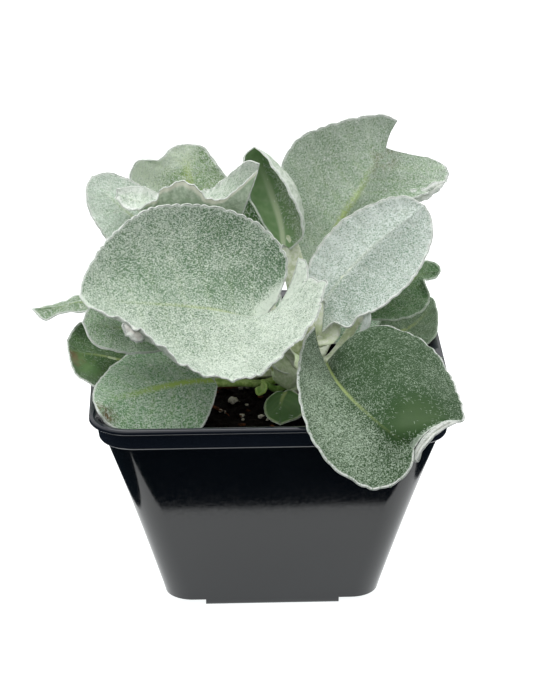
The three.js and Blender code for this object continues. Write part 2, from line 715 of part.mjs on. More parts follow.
function soilBlock() {
  const cells = 14;
  const half = bodyHalf(soilLevel) + 2;
  const positions = [];
  const triangles = [];
  const place = (i, j) => [-half + (2 * half * i) / cells, -half + (2 * half * j) / cells];
  for (const isTop of [true, false]) {
    for (let j = 0; j <= cells; j += 1) {
      for (let i = 0; i <= cells; i += 1) {
        const [x, y] = place(i, j);
        positions.push(x, y, isTop ? soilHeight(x, y) : -5);
      }
    }
  }
  const row = cells + 1;
  const under = row * row;
  for (let j = 0; j < cells; j += 1) {
    for (let i = 0; i < cells; i += 1) {
      const a = j * row + i;
      triangles.push(a, a + 1, a + row + 1, a, a + row + 1, a + row);
      const b = a + under;
      triangles.push(b, b + row + 1, b + 1, b, b + row, b + row + 1);
    }
  }
  for (let k = 0; k < cells; k += 1) {
    const edges = [
      [k, k + 1],
      [k * row + cells, (k + 1) * row + cells],
      [cells * row + k + 1, cells * row + k],
      [(k + 1) * row, k * row],
    ];
    edges.forEach(([a, b]) => triangles.push(a, a + under, b + under, a, b + under, b));
  }
  return solidFrom(positions, triangles);
}

// Grains of bark and white grit that stand proud of the soil
function soilGrains() {
  const draw = seededDraws(41);
  let grains = null;
  for (let k = 0; k < grainCount; k += 1) {
    const x = -44 + 88 * draw();
    const y = -44 + 88 * draw();
    const size = 0.9 + 0.9 * draw();
    const geometry = new THREE.IcosahedronGeometry(size, 0);
    geometry.scale(1 + 0.9 * draw(), 1, 0.7);
    geometry.rotateZ(Math.PI * draw());
    geometry.translate(x, y, soilHeight(x, y) + 0.1);
    const besideCrown = Math.hypot(x - crown.x, y - crown.y) < 15;
    if (besideCrown) continue;
    const grain = solidFromGeometry(geometry);
    grains = grains ? grains.add(grain) : grain;
  }
  return grains;
}

function makeSoil() {
  const filling = soilBlock().intersect(loft(insideSteps(soilGap)));
  const raised = cornerRise + floorThickness + soilGap;
  const rested = filling.subtract(cornerBlocks(cornerFrom - wall - soilGap, 40, 0, raised));
  const hole = new THREE.CylinderGeometry(crown.radius + soilGap, crown.radius + soilGap, 40, 20);
  hole.rotateX(Math.PI / 2);
  hole.translate(crown.x, crown.y, crown.foot - soilGap + 20);
  const soil = rested.add(soilGrains()).subtract(solidFromGeometry(hole));
  return meshFrom(soil, 'soil', soilMaterial());
}

// The short stem and the folded young leaf at its heart
function makeCrown() {
  const outline = [
    new THREE.Vector2(0, crown.foot),
    new THREE.Vector2(crown.radius * 0.8, crown.foot),
    new THREE.Vector2(crown.radius, crown.foot + 1.5),
    new THREE.Vector2(crown.radius, crown.top - 4),
    new THREE.Vector2(crown.radius * 0.82, crown.top),
    new THREE.Vector2(crown.radius * 0.42, crown.top + 4),
    new THREE.Vector2(crown.radius * 0.26, crown.tip - 3),
    new THREE.Vector2(0, crown.tip),
  ];
  const geometry = new THREE.LatheGeometry(outline, 16);
  geometry.rotateX(Math.PI / 2);
  geometry.translate(crown.x, crown.y, 0);
  return meshFrom(solidFromGeometry(geometry), 'crown', crownMaterial());
}

function potMaterial() {
  return new THREE.MeshStandardMaterial({ name: 'pot_plastic', color: 0x0b1016, roughness: 0.22 });
}

function soilMaterial() {
  return new THREE.MeshStandardMaterial({ name: 'potting_soil', color: 0x17110d, roughness: 1 });
}

function crownMaterial() {
  return new THREE.MeshStandardMaterial({ name: 'crown_felt', color: 0xc9d2ad, roughness: 0.9 });
}

// The felt is densest, and so palest, on the young leaves
function leafMaterial(name, color) {
  return new THREE.MeshStandardMaterial({ name, color, roughness: 0.92 });
}

function makePlant() {
  const group = new THREE.Group();
  group.name = 'potted_senecio_candicans';
  group.add(makePot(), makeSoil(), makeCrown());
  for (const [name, leaf] of Object.entries(leaves)) {
    group.add(makeLeaf(name, leaf, leafMaterial(`${name}_felt`, leaf.color)));
  }
  return group;
}

export default makePlant();
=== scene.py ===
import bpy
import bmesh
import math
import random
import numpy as np
from mathutils import Matrix, Vector, noise


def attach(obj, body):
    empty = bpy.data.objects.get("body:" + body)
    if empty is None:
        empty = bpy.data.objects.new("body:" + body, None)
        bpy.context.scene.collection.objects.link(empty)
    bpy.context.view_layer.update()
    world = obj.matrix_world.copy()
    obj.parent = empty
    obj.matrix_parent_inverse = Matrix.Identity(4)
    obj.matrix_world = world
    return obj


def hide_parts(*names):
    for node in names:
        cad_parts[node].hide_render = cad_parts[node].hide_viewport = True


# A silver-felted bedding plant in a square black nursery pot, built leaf by leaf.
# The leaf curves are in millimetres, pot front towards -Y, and turn into metres on the way out.

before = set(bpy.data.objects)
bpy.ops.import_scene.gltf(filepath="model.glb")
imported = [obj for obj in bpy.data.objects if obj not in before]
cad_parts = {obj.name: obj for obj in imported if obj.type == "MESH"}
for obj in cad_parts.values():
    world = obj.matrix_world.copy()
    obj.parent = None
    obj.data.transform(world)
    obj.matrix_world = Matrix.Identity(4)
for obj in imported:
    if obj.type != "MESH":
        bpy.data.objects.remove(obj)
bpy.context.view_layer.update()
mm = 0.001

# camera

cameraSettings = dict(
    place=(-25.9, -776.1, 407.7),
    pitch=23.0,  # degrees below the horizon
    yaw=1.87,
    roll=-0.17,
    focal=2600.0,  # in pixels of the 682 pixel high frame
    frameHigh=682,
    sensor=36.0,
)


def makeCamera(s):
    p, y, r = (math.radians(s[k]) for k in ("pitch", "yaw", "roll"))
    forward = Vector((math.sin(y) * math.cos(p), math.cos(y) * math.cos(p), -math.sin(p)))
    right = Vector((math.cos(y), -math.sin(y), 0))
    up = right.cross(forward)
    right, up = right * math.cos(r) + up * math.sin(r), up * math.cos(r) - right * math.sin(r)
    data = bpy.data.cameras.new("photoCamera")
    data.sensor_fit = "VERTICAL"
    data.sensor_height = s["sensor"]
    data.lens = s["focal"] / s["frameHigh"] * s["sensor"]
    data.clip_start = 0.01
    data.clip_end = 20
    camera = bpy.data.objects.new("photoCamera", data)
    bpy.context.collection.objects.link(camera)
    turn = Matrix((right, up, -forward)).transposed()
    camera.matrix_world = Matrix.Translation(Vector(s["place"]) * mm) @ turn.to_4x4()
    bpy.context.scene.camera = camera


makeCamera(cameraSettings)

# light and floor

lightSettings = dict(
    zenith=1.22,  # sky strength straight up
    horizon=0.6,
    below=0.02,  # what the pot mirrors past the lit floor
    belowTint=(0.45, 0.75, 1.0),
    softbox=5.0,  # watts
    softboxPlace=(-0.15, 0.15, 1.3),
    softboxAim=(0.0, 0.0, 0.08),
    softboxSize=0.9,
)


def linear(c):
    return c / 12.92 if c <= 0.04045 else ((c + 0.055) / 1.055) ** 2.4


def tint(code):
    # a hex code as linear colour
    parts = [int(code[k:k + 2], 16) / 255 for k in (0, 2, 4)]
    return tuple(linear(c) for c in parts) + (1.0,)


class Graph:
    # short names for the node calls that every material repeats
    def __init__(self, name):
        self.material = bpy.data.materials.new(name)
        self.material.use_nodes = True
        self.tree = self.material.node_tree
        self.shader = self.tree.nodes["Principled BSDF"]
        self.coords = None

    def node(self, kind, **values):
        made = self.tree.nodes.new(kind)
        for key, value in values.items():
            setattr(made, key, value)
        return made

    def join(self, source, socket):
        if hasattr(source, "links"):
            self.tree.links.new(source, socket)
        else:
            socket.default_value = source

    def place(self):
        if self.coords is None:
            self.coords = self.node("ShaderNodeTexCoord").outputs["Object"]
        return self.coords

    def stretched(self, scale, turn):
        made = self.node("ShaderNodeMapping")
        self.join(self.place(), made.inputs["Vector"])
        made.inputs["Rotation"].default_value = turn
        made.inputs["Scale"].default_value = scale
        return made.outputs["Vector"]

    def noise(self, scale, detail=2.0, rough=0.5, bend=0.0, source=None):
        made = self.node("ShaderNodeTexNoise")
        self.join(source or self.place(), made.inputs["Vector"])
        made.inputs["Scale"].default_value = scale
        made.inputs["Detail"].default_value = detail
        made.inputs["Roughness"].default_value = rough
        made.inputs["Distortion"].default_value = bend
        return made.outputs["Fac"]

    def cells(self, scale):
        made = self.node("ShaderNodeTexVoronoi")
        self.join(self.place(), made.inputs["Vector"])
        made.inputs["Scale"].default_value = scale
        return made.outputs["Distance"]

    def value(self, name):
        return self.node("ShaderNodeAttribute", attribute_name=name).outputs["Fac"]

    def calc(self, operation, a, b, clamp=False):
        made = self.node("ShaderNodeMath", operation=operation, use_clamp=clamp)
        self.join(a, made.inputs[0])
        self.join(b, made.inputs[1])
        return made.outputs[0]

    def fit(self, value, low, high, toLow=0.0, toHigh=1.0):
        made = self.node("ShaderNodeMapRange", interpolation_type="SMOOTHSTEP")
        self.join(value, made.inputs["Value"])
        self.join(low, made.inputs["From Min"])
        self.join(high, made.inputs["From Max"])
        self.join(toLow, made.inputs["To Min"])
        self.join(toHigh, made.inputs["To Max"])
        return made.outputs["Result"]

    def mix(self, share, a, b):
        made = self.node("ShaderNodeMix", data_type="RGBA")
        self.join(share, made.inputs[0])
        self.join(a, made.inputs[6])
        self.join(b, made.inputs[7])
        return made.outputs[2]

    def bump(self, height, distance, strength=1.0, under=None):
        made = self.node("ShaderNodeBump")
        self.join(height, made.inputs["Height"])
        made.inputs["Distance"].default_value = distance
        made.inputs["Strength"].default_value = strength
        if under is not None:
            self.join(under, made.inputs["Normal"])
        return made.outputs["Normal"]

    def finish(self, color, rough, normal=None, **fixed):
        self.join(color, self.shader.inputs["Base Color"])
        self.join(rough, self.shader.inputs["Roughness"])
        if normal is not None:
            self.join(normal, self.shader.inputs["Normal"])
        for key, value in fixed.items():
            self.shader.inputs[key].default_value = value
        return self.material


def meshObject(name, points, faces, materials, slots=None, values=None, smooth=True):
    # points in mm; values are one number a point, by name, for the materials to read
    mesh = bpy.data.meshes.new(name)
    mesh.from_pydata((np.asarray(points, float) * mm).tolist(), [], faces)
    for material in materials:
        mesh.materials.append(material)
    if slots is not None:
        mesh.polygons.foreach_set("material_index", np.asarray(slots, np.int32))
    for key, numbers in (values or {}).items():
        layer = mesh.attributes.new(key, "FLOAT", "POINT")
        layer.data.foreach_set("value", np.asarray(numbers, np.float32))
    mesh.polygons.foreach_set("use_smooth", np.full(len(mesh.polygons), smooth))
    mesh.validate()
    mesh.update()
    made = bpy.data.objects.new(name, mesh)
    bpy.context.collection.objects.link(made)
    return made


def tubeFaces(rows, sides):
    # rows of quads and a cap at each end
    faces = []
    for i in range(rows):
        for k in range(sides):
            a, b = i * sides + k, i * sides + (k + 1) % sides
            faces.append((a, b, b + sides, a + sides))
    last = rows * sides
    return faces + [tuple(range(sides))[::-1], tuple(range(last, last + sides))]


def makeLight(s):
    world = bpy.data.worlds.new("studio")
    bpy.context.scene.world = world
    world.use_nodes = True
    tree = world.node_tree
    back = tree.nodes["Background"]
    coords = tree.nodes.new("ShaderNodeTexCoord")
    split = tree.nodes.new("ShaderNodeSeparateXYZ")
    tree.links.new(coords.outputs["Generated"], split.inputs[0])
    ramp = tree.nodes.new("ShaderNodeValToRGB")
    tree.links.new(split.outputs["Z"], ramp.inputs[0])
    stops = ramp.color_ramp.elements
    stops[0].color = [c * s["below"] for c in s["belowTint"]] + [1]
    stops[1].color = [s["zenith"]] * 3 + [1]
    stops.new(0.02).color = [s["horizon"]] * 3 + [1]
    tree.links.new(ramp.outputs["Color"], back.inputs["Color"])
    data = bpy.data.lights.new("softbox", "AREA")
    data.energy = s["softbox"]
    data.size = s["softboxSize"]
    box = bpy.data.objects.new("softbox", data)
    box.location = s["softboxPlace"]
    aim = Vector(s["softboxAim"]) - Vector(s["softboxPlace"])
    box.rotation_euler = aim.to_track_quat("-Z", "Y").to_euler()
    bpy.context.collection.objects.link(box)
    view = bpy.context.scene.view_settings
    view.view_transform = "Standard"
    view.look = "None"


floorSettings = dict(
    reach=3000.0,
    level=-0.1,
    front=-69.4,  # the pot mirrors no floor in front of this,
    left=-72.0,  # nor left of this,
    right=84.0,  # nor right of this
    paper="bcbcbc",
    paperShade="bababa",
    glowTint=(0.97, 1.0, 1.0, 1.0),
    glow=0.95,
)


def makeFloor(s):
    # four sheets that meet beside the pot; its sides mirror only the near one
    reach, front, left, right = s["reach"], s["front"], s["left"], s["right"]
    sheets = {
        "floorNear": (left, right, front, reach),
        "floorFront": (-reach, reach, -reach, front),
        "floorLeft": (-reach, left, front, reach),
        "floorRight": (right, reach, front, reach),
    }
    g = Graph("palePaper")
    shade = g.mix(g.noise(3.0, 3.0), tint(s["paper"]), tint(s["paperShade"]))
    glow = {"Emission Color": s["glowTint"], "Emission Strength": s["glow"]}
    paper = g.finish(shade, 1.0, **{"Specular IOR Level": 0.0}, **glow)
    for name, (x0, x1, y0, y1) in sheets.items():
        corners = [(x, y, s["level"]) for x, y in ((x0, y0), (x1, y0), (x1, y1), (x0, y1))]
        sheet = meshObject(name, corners, [(0, 1, 2, 3)], [paper], smooth=False)
        sheet.visible_glossy = name == "floorNear"
        sheet.visible_diffuse = name != "floorFront"


makeLight(lightSettings)
makeFloor(floorSettings)
print("camera, light and floor are in place")

# pot

potSettings = dict(
    width=114.0,
    height=73.2,
    footWidth=68.4,
    bodyWidth=104.4,
    bandWidth=108.6,
    bandDeep=8.5,
    lipDeep=1.8,
    wall=1.3,
    topCorner=11.0,
    footCorner=9.0,
    cornerRise=2.3,
    cornerFrom=21.5,
    cornerReach=40.0,
    floorTop=4.3,
    holeRadius=3.2,
    holeAt=27.0,
    arcSteps=14,
    color="080c12",
    dust="3c4247",
    worn="1d232e",
    wornFrom=63.5,  # height at which the paler band begins
    wornFull=65.5,
)


def roundedSquare(half, corner, height, steps):
    loop = []
    for side in range(4):
        turn = side * math.pi / 2
        reach = (half - corner) * math.sqrt(2)
        x, y = reach * math.cos(turn + math.pi / 4), reach * math.sin(turn + math.pi / 4)
        for k in range(steps + 1):
            angle = turn + k / steps * math.pi / 2
            loop.append((x + corner * math.cos(angle), y + corner * math.sin(angle), height))
    return loop


def potMaterial(s):
    g = Graph("potPlastic")
    scuff = g.noise(900, 3, 0.7)
    film = g.noise(28, 4, 0.6)
    dust = g.fit(g.noise(2600, 1.0), 0.70, 0.78)
    haze = g.calc("MULTIPLY", g.fit(film, 0.45, 0.75), 0.05)
    dull = g.calc("MAXIMUM", haze, g.calc("MULTIPLY", dust, 0.25))
    shade = g.mix(dull, tint(s["color"]), tint(s["dust"]))
    split = g.node("ShaderNodeSeparateXYZ")
    g.join(g.place(), split.inputs[0])
    worn = g.fit(split.outputs["Z"], s["wornFrom"] * mm, s["wornFull"] * mm, 0.0, 0.8)
    shade = g.mix(worn, shade, tint(s["worn"]))
    rough = g.fit(scuff, 0.3, 0.75, 0.07, 0.16)
    sway = g.bump(g.noise(11, 1.5), 0.0012)
    normal = g.bump(scuff, 0.000006, under=sway)
    return g.finish(shade, rough, normal, **{"IOR": 1.6, "Specular IOR Level": 0.5})


def boxCutter(x, y, z, sizes):
    bpy.ops.mesh.primitive_cube_add(size=1, location=(x * mm, y * mm, z * mm))
    cutter = bpy.context.object
    cutter.scale = [k * mm for k in sizes]
    return cutter


def tubeCutter(x, y, radius):
    bpy.ops.mesh.primitive_cylinder_add(vertices=40, radius=radius * mm, depth=14 * mm,
                                        location=(x * mm, y * mm, 2 * mm))
    return bpy.context.object


def cut(target, cutters):
    for cutter in cutters:
        change = target.modifiers.new("cut", "BOOLEAN")
        change.operation = "DIFFERENCE"
        change.solver = "EXACT"
        change.object = cutter
    settle(target)
    for cutter in cutters:
        bpy.data.objects.remove(cutter)


def settle(target):
    # bake the modifiers into the mesh
    seen = target.evaluated_get(bpy.context.evaluated_depsgraph_get())
    baked = bpy.data.meshes.new_from_object(seen)
    target.modifiers.clear()
    target.data = baked


def makePot(s):
    bandFoot = s["height"] - s["bandDeep"]
    foot, body, band, lip = (s[k] / 2 for k in ("footWidth", "bodyWidth", "bandWidth", "width"))
    top, corner, base, wall = s["height"], s["topCorner"], s["footCorner"], s["wall"]
    bodyCorner = base + (corner - base) * bandFoot / top
    lipFoot = top - s["lipDeep"]
    steps = [
        (foot - 1.3, 0, base - 1.3), (foot - 0.6, 0.15, base - 0.6), (foot - 0.15, 0.5, base - 0.15),
        (foot + 0.1, 1.1, base),
    ]
    rows = 16
    for k in range(1, rows + 1):
        t = k / rows
        bow = 0.35 * math.sin(math.pi * t)  # the sides are drawn in a little between foot and band
        half = foot + (body - foot) * t - bow
        steps.append((half, 1.1 + (bandFoot - 1.1) * t, base + (bodyCorner - base) * t))
    steps += [
        (body + 0.3, bandFoot + 0.15, bodyCorner + 0.2),
        (band - 1.0, bandFoot + 0.35, corner - 0.3),
        (band - 0.45, bandFoot + 0.65, corner),
        (band - 0.2, bandFoot + 1.2, corner),
        (band, bandFoot + 3.0, corner),
        (band + 0.35, lipFoot - 0.9, corner + 0.4),
        (band + 0.6, lipFoot - 0.35, corner + 0.7),
        (lip - 0.75, lipFoot - 0.1, corner + 1.2),
        (lip - 0.25, lipFoot + 0.05, corner + 1.5),
        (lip, lipFoot + 0.4, corner + 1.7),
        (lip, top - 0.75, corner + 1.7),
        (lip - 0.15, top - 0.3, corner + 1.6),
        (lip - 0.5, top - 0.05, corner + 1.3),
        (lip - 0.9, top, corner + 1.0),
        (lip - 1.6, top - 0.05, corner + 0.6),
        (lip - 2.2, top - 0.35, corner + 0.2),
        (band - wall + 0.5, top - 1.3, corner - wall),
        (band - wall, bandFoot + 1.4, corner - wall),
        (body - wall, bandFoot, bodyCorner - wall),
        (foot + 1.0 - wall, s["floorTop"], base - wall),
    ]
    points, arc = [], s["arcSteps"]
    for half, height, bend in steps:
        points += roundedSquare(half, bend, height, arc)
    pot = meshObject("potShell", points, tubeFaces(len(steps) - 1, 4 * (arc + 1)), [potMaterial(s)])
    size = s["cornerReach"] - s["cornerFrom"]
    middle = s["cornerFrom"] + size / 2
    cutters = []
    for sx, sy in ((1, 1), (-1, 1), (-1, -1), (1, -1)):
        cutters.append(boxCutter(sx * middle, sy * middle, s["cornerRise"] - 5, (size, size, 10)))
        cutters.append(tubeCutter(sx * s["holeAt"], sy * s["holeAt"], s["holeRadius"]))
    cut(pot, cutters)
    smoothByAngle(pot, 40)
    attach(pot, "root")
    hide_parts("pot")


def smoothByAngle(target, degrees):
    mesh = target.data
    mesh.polygons.foreach_set("use_smooth", np.full(len(mesh.polygons), True))
    work = bmesh.new()
    work.from_mesh(mesh)
    for edge in work.edges:
        if len(edge.link_faces) == 2:
            edge.smooth = edge.calc_face_angle(0) < math.radians(degrees)
    work.to_mesh(mesh)
    work.free()


makePot(potSettings)
print("pot is in place")

# soil

soilSettings = dict(
    level=63.6,
    half=50.2,
    corner=9.0,
    cells=150,
    skirt=5.0,  # how far its side reaches down the pot
    crumbs=520,
    chips=110,
    grit=30,
    fibres=60,
    seed=41,
    stick=((-15.5, -7.6, 65.2), (-2.2, -4.9, 65.6)),  # a long piece of bark in front
    stones=((-11.9, -16.6, 1.45), (-3.0, -27.8, 0.95), (-14.5, -24.0, 0.5), (-7.5, -19.0, 0.45),
            (-9.0, -30.0, 0.5), (20.5, -8.0, 0.8)),  # x, y and size of the pale grains that show
    dark="040303",
    brown="17100b",
    bark="7a4a2c",
    gritShade="a8a28f",
    gritTint="e6e3d6",
)


def soilHeight(x, y):
    swell = 0.7 * math.sin(x * 0.11 + 0.6) * math.cos(y * 0.13 - 0.4)
    crumb = 0.45 * math.sin(x * 0.83 + y * 0.37) * math.sin(y * 0.91 - x * 0.29)
    return soilSettings["level"] + swell + crumb


def soilMaterial(name, low, high, scale):
    g = Graph(name)
    grain = g.noise(scale, 5, 0.75)
    lump = g.cells(scale * 0.9)
    shade = g.mix(g.fit(grain, 0.35, 0.7), tint(low), tint(high))
    height = g.calc("SUBTRACT", grain, g.calc("MULTIPLY", lump, 0.6))
    return g.finish(shade, 0.92, g.bump(height, 0.0006), **{"Specular IOR Level": 0.08})


def insideRounded(a, b, half, corner):
    # a point of the unit square, drawn to the rounded square
    reach = max(abs(a), abs(b))
    if reach < 1e-6:
        return 0.0, 0.0
    dx, dy = a / reach * half, b / reach * half
    flat = half - corner
    if abs(dx) > flat and abs(dy) > flat:
        # where the ray from the centre meets the corner arc
        length = math.hypot(dx, dy)
        ux, uy = abs(dx) / length, abs(dy) / length
        along = flat * (ux + uy)
        dist = along + math.sqrt(max(along * along - 2 * flat * flat + corner * corner, 0))
        dx, dy = math.copysign(ux * dist, dx), math.copysign(uy * dist, dy)
    return dx * reach, dy * reach


def lumpMesh(draw, centre, sizes, turn, detail=2, rough=0.28):
    work = bmesh.new()
    bmesh.ops.create_icosphere(work, subdivisions=detail, radius=1)
    shift = Vector((draw.random() * 50, draw.random() * 50, draw.random() * 50))
    spin = Matrix.Rotation(turn, 3, "Z") @ Matrix.Rotation(draw.uniform(-0.5, 0.5), 3, "X")
    points = []
    for vert in work.verts:
        push = 1 + rough * noise.noise(vert.co * 1.6 + shift) * 2
        spot = Vector([vert.co[k] * push * sizes[k] for k in range(3)])
        points.append(tuple(spin @ spot + Vector(centre)))
    faces = [tuple(v.index for v in face.verts) for face in work.faces]
    work.free()
    return points, faces


def stickMesh(draw, start, end, wide, thick, sides=7, rows=9):
    start, end = Vector(start), Vector(end)
    run = (end - start).normalized()
    side = run.cross(Vector((0, 0, 1))).normalized()
    up = side.cross(run)
    shift = draw.random() * 90
    points = []
    for i in range(rows + 1):
        t = i / rows
        bend = 0.25 * wide * noise.noise(Vector((t * 2.5, shift, 0)))
        fade = min(1, 0.35 + 5 * t, 0.35 + 5 * (1 - t))
        for k in range(sides):
            angle = 2 * math.pi * k / sides
            jag = 1 + 0.35 * noise.noise(Vector((t * 5 + shift, k * 1.7, 3)))
            spot = start.lerp(end, t) + side * (math.cos(angle) * wide * fade * jag + bend)
            points.append(tuple(spot + up * math.sin(angle) * thick * fade * jag))
    return points, tubeFaces(rows, sides)


def gather(name, lumps, material):
    points, faces = [], []
    for some, corners in lumps:
        base = len(points)
        points += some
        faces += [tuple(k + base for k in face) for face in corners]
    made = meshObject(name, points, faces, [material])
    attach(made, "root")
    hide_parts("soil")


def makeSoil(s):
    cells = s["cells"]
    points, faces = [], []
    for j in range(cells + 1):
        for i in range(cells + 1):
            x, y = insideRounded(2 * i / cells - 1, 2 * j / cells - 1, s["half"], s["corner"])
            fine = 0.8 * noise.noise(Vector((x, y, 0)) * 0.42) + 0.5 * noise.noise(Vector((x, y, 7)) * 1.1)
            points.append((x, y, soilHeight(x, y) - 0.2 + fine))
    row = cells + 1
    for j in range(cells):
        for i in range(cells):
            a = j * row + i
            faces.append((a, a + 1, a + row + 1, a + row))
    rim = list(range(cells)) + [j * row + cells for j in range(cells)]
    rim += [cells * row + i for i in range(cells, 0, -1)] + [j * row for j in range(cells, 0, -1)]
    base = len(points)
    for index in rim:
        x, y, z = points[index]
        points.append((x * 0.985, y * 0.985, s["level"] - s["skirt"]))
    for k in range(len(rim)):
        n = (k + 1) % len(rim)
        faces.append((rim[n], rim[k], base + k, base + n))
    faces.append(tuple(range(base, base + len(rim)))[::-1])
    earth = meshObject("soilBed", points, faces, [soilMaterial("soilEarth", s["dark"], s["brown"], 900)])
    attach(earth, "root")
    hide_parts("soil")
    draw = random.Random(s["seed"])
    limit = s["half"] - 3

    def spot():
        x, y = draw.uniform(-limit, limit), draw.uniform(-limit, limit)
        return x, y, soilHeight(x, y)

    crumbs, chips, grit = [], [], []
    for k in range(s["crumbs"]):
        x, y, z = spot()
        size = draw.uniform(0.35, 1.2)
        sizes = (size * draw.uniform(1, 1.5), size, size * 0.8)
        crumbs.append(lumpMesh(draw, (x, y, z + 0.1), sizes, draw.random() * 6, 1, 0.35))
    for k in range(s["chips"]):
        x, y, z = spot()
        long, turn = draw.uniform(1.5, 5), draw.random() * 6.28
        dx, dy = long / 2 * math.cos(turn), long / 2 * math.sin(turn)
        tip = z + draw.uniform(0.1, 1.0)
        chips.append(stickMesh(draw, (x - dx, y - dy, z + 0.3), (x + dx, y + dy, tip),
                               draw.uniform(0.4, 1.0), draw.uniform(0.2, 0.45), rows=5))
    for k in range(s["fibres"]):
        x, y, z = spot()
        long, turn = draw.uniform(3, 8), draw.random() * 6.28
        dx, dy = long / 2 * math.cos(turn), long / 2 * math.sin(turn)
        tip = z + draw.uniform(0.4, 1.4)
        chips.append(stickMesh(draw, (x - dx, y - dy, z + 0.5), (x + dx, y + dy, tip), 0.13, 0.11, 5, 6))
    for k in range(s["grit"]):
        x, y, z = spot()
        size = draw.uniform(0.25, 0.8)
        grit.append(lumpMesh(draw, (x, y, z + 0.35), (size * 1.2, size, size * 0.8), draw.random() * 6, 2))
    chips.append(stickMesh(draw, *s["stick"], 1.0, 0.6, 9, 14))
    for x, y, size in s["stones"]:
        spread = (size * 1.25, size, size * 0.85)
        grit.append(lumpMesh(draw, (x, y, soilHeight(x, y) + size * 0.5), spread, draw.random() * 6, 2))
    gather("soilCrumbs", crumbs, soilMaterial("soilCrumb", s["dark"], s["brown"], 700))
    gather("soilBark", chips, soilMaterial("soilBarkBrown", s["brown"], s["bark"], 500))
    gather("soilGrit", grit, soilMaterial("soilGritWhite", s["gritShade"], s["gritTint"], 1200))


makeSoil(soilSettings)
print("soil is in place")

# leaf shapes: blade, stalk and down

# A leaf is drawn by its rib and its left and right margins, each a run of points to its tip.
# Its stalk leaves the crown at root (turn in degrees, height), and stalkWidth runs from there to the
# blade. A patch is (along, across, mm along, mm across, strength); its kinds are bare, brown, pale and
# thin felt. Bare and brown are marks of the leaf; pale and thin add or take away pale hairs, and on some
# leaves they are partly painted light and painted shade.

crown = dict(x=10.5, y=-2.0, radius=5.4, foot=62.0, top=84.0, tip=97.0, stalkGap=0.45)

bladeSettings = dict(
    rimThick=0.5,
    midThick=0.35,  # added away from the rim
    keel=0.9,  # and along the rib
    veinDeep=0.10,
    veinUnder=0.15,
    veinLean=0.3,
    swellHigh=0.35,
    rippleHigh=0.10,
    stalkTall=1.15,
    tipTall=0.35,  # the same stalk where it dies away beneath the blade
    channel=0.45,
    ribReach=0.75,
)


def unit(v):
    return v / (np.linalg.norm(v, axis=-1, keepdims=True) + 1e-9)


def splineAt(points, t):
    # a smooth curve through the points, t from 0 to 1
    p = np.asarray(points, float)
    n = len(p)
    e = np.vstack([2 * p[0] - p[1], p, 2 * p[-1] - p[-2]])
    x = np.clip(t, 0, 1) * (n - 1)
    i = np.minimum(x.astype(int), n - 2)
    f = (x - i)[:, None]
    a, b, c, d = e[i], e[i + 1], e[i + 2], e[i + 3]
    square, cube = (2 * a - 5 * b + 4 * c - d) * f ** 2, (3 * b - a - 3 * c + d) * f ** 3
    return 0.5 * (2 * b + (c - a) * f + square + cube)


def evenly(points, s):
    # the same curve, walked at an even pace
    dense = np.linspace(0, 1, 241)
    path = splineAt(points, dense)
    length = np.concatenate([[0], np.cumsum(np.linalg.norm(np.diff(path, axis=0), axis=1))])
    return splineAt(points, np.interp(np.asarray(s, float), length / length[-1], dense))


def blend(values, u):
    # a smooth run through a few values
    values = np.asarray(values, float)
    at = np.clip(u, 0, 1) * (len(values) - 1)
    low = np.minimum(at.astype(int), len(values) - 1)
    high = np.minimum(low + 1, len(values) - 1)
    t = at - low
    return values[low] + (values[high] - values[low]) * t * t * (3 - 2 * t)


def noiseAt(points, size, seed=0.0):
    # smooth noise from about -1 to 1, with swells of that many mm
    shift = Vector((seed * 17.3, seed * 5.1, seed * 9.7))
    flat = np.asarray(points, float).reshape(-1, 3) / size
    found = np.array([noise.noise(Vector(p) + shift) for p in flat])
    return found.reshape(np.asarray(points).shape[:-1])


def tangents(points, u):
    return unit(evenly(points, np.clip(u + 0.01, 0, 1)) - evenly(points, np.clip(u - 0.01, 0, 1)))


def sideUps(leaf, side):
    # which way the upper face looks, gathered along the rib
    knots = np.linspace(0, 1, 41)
    reach = evenly(leaf["left" if side < 0 else "right"], knots) - evenly(leaf["rib"], knots)
    return np.cross(reach, tangents(leaf["rib"], knots)) * side


def upAt(found, u, along):
    knots = np.linspace(0, 1, len(found))
    up = unit(np.exp(-((u[:, None] - knots) / 0.16) ** 2) @ found)
    along = unit(along)
    return unit(up - (up * along).sum(1, keepdims=True) * along)


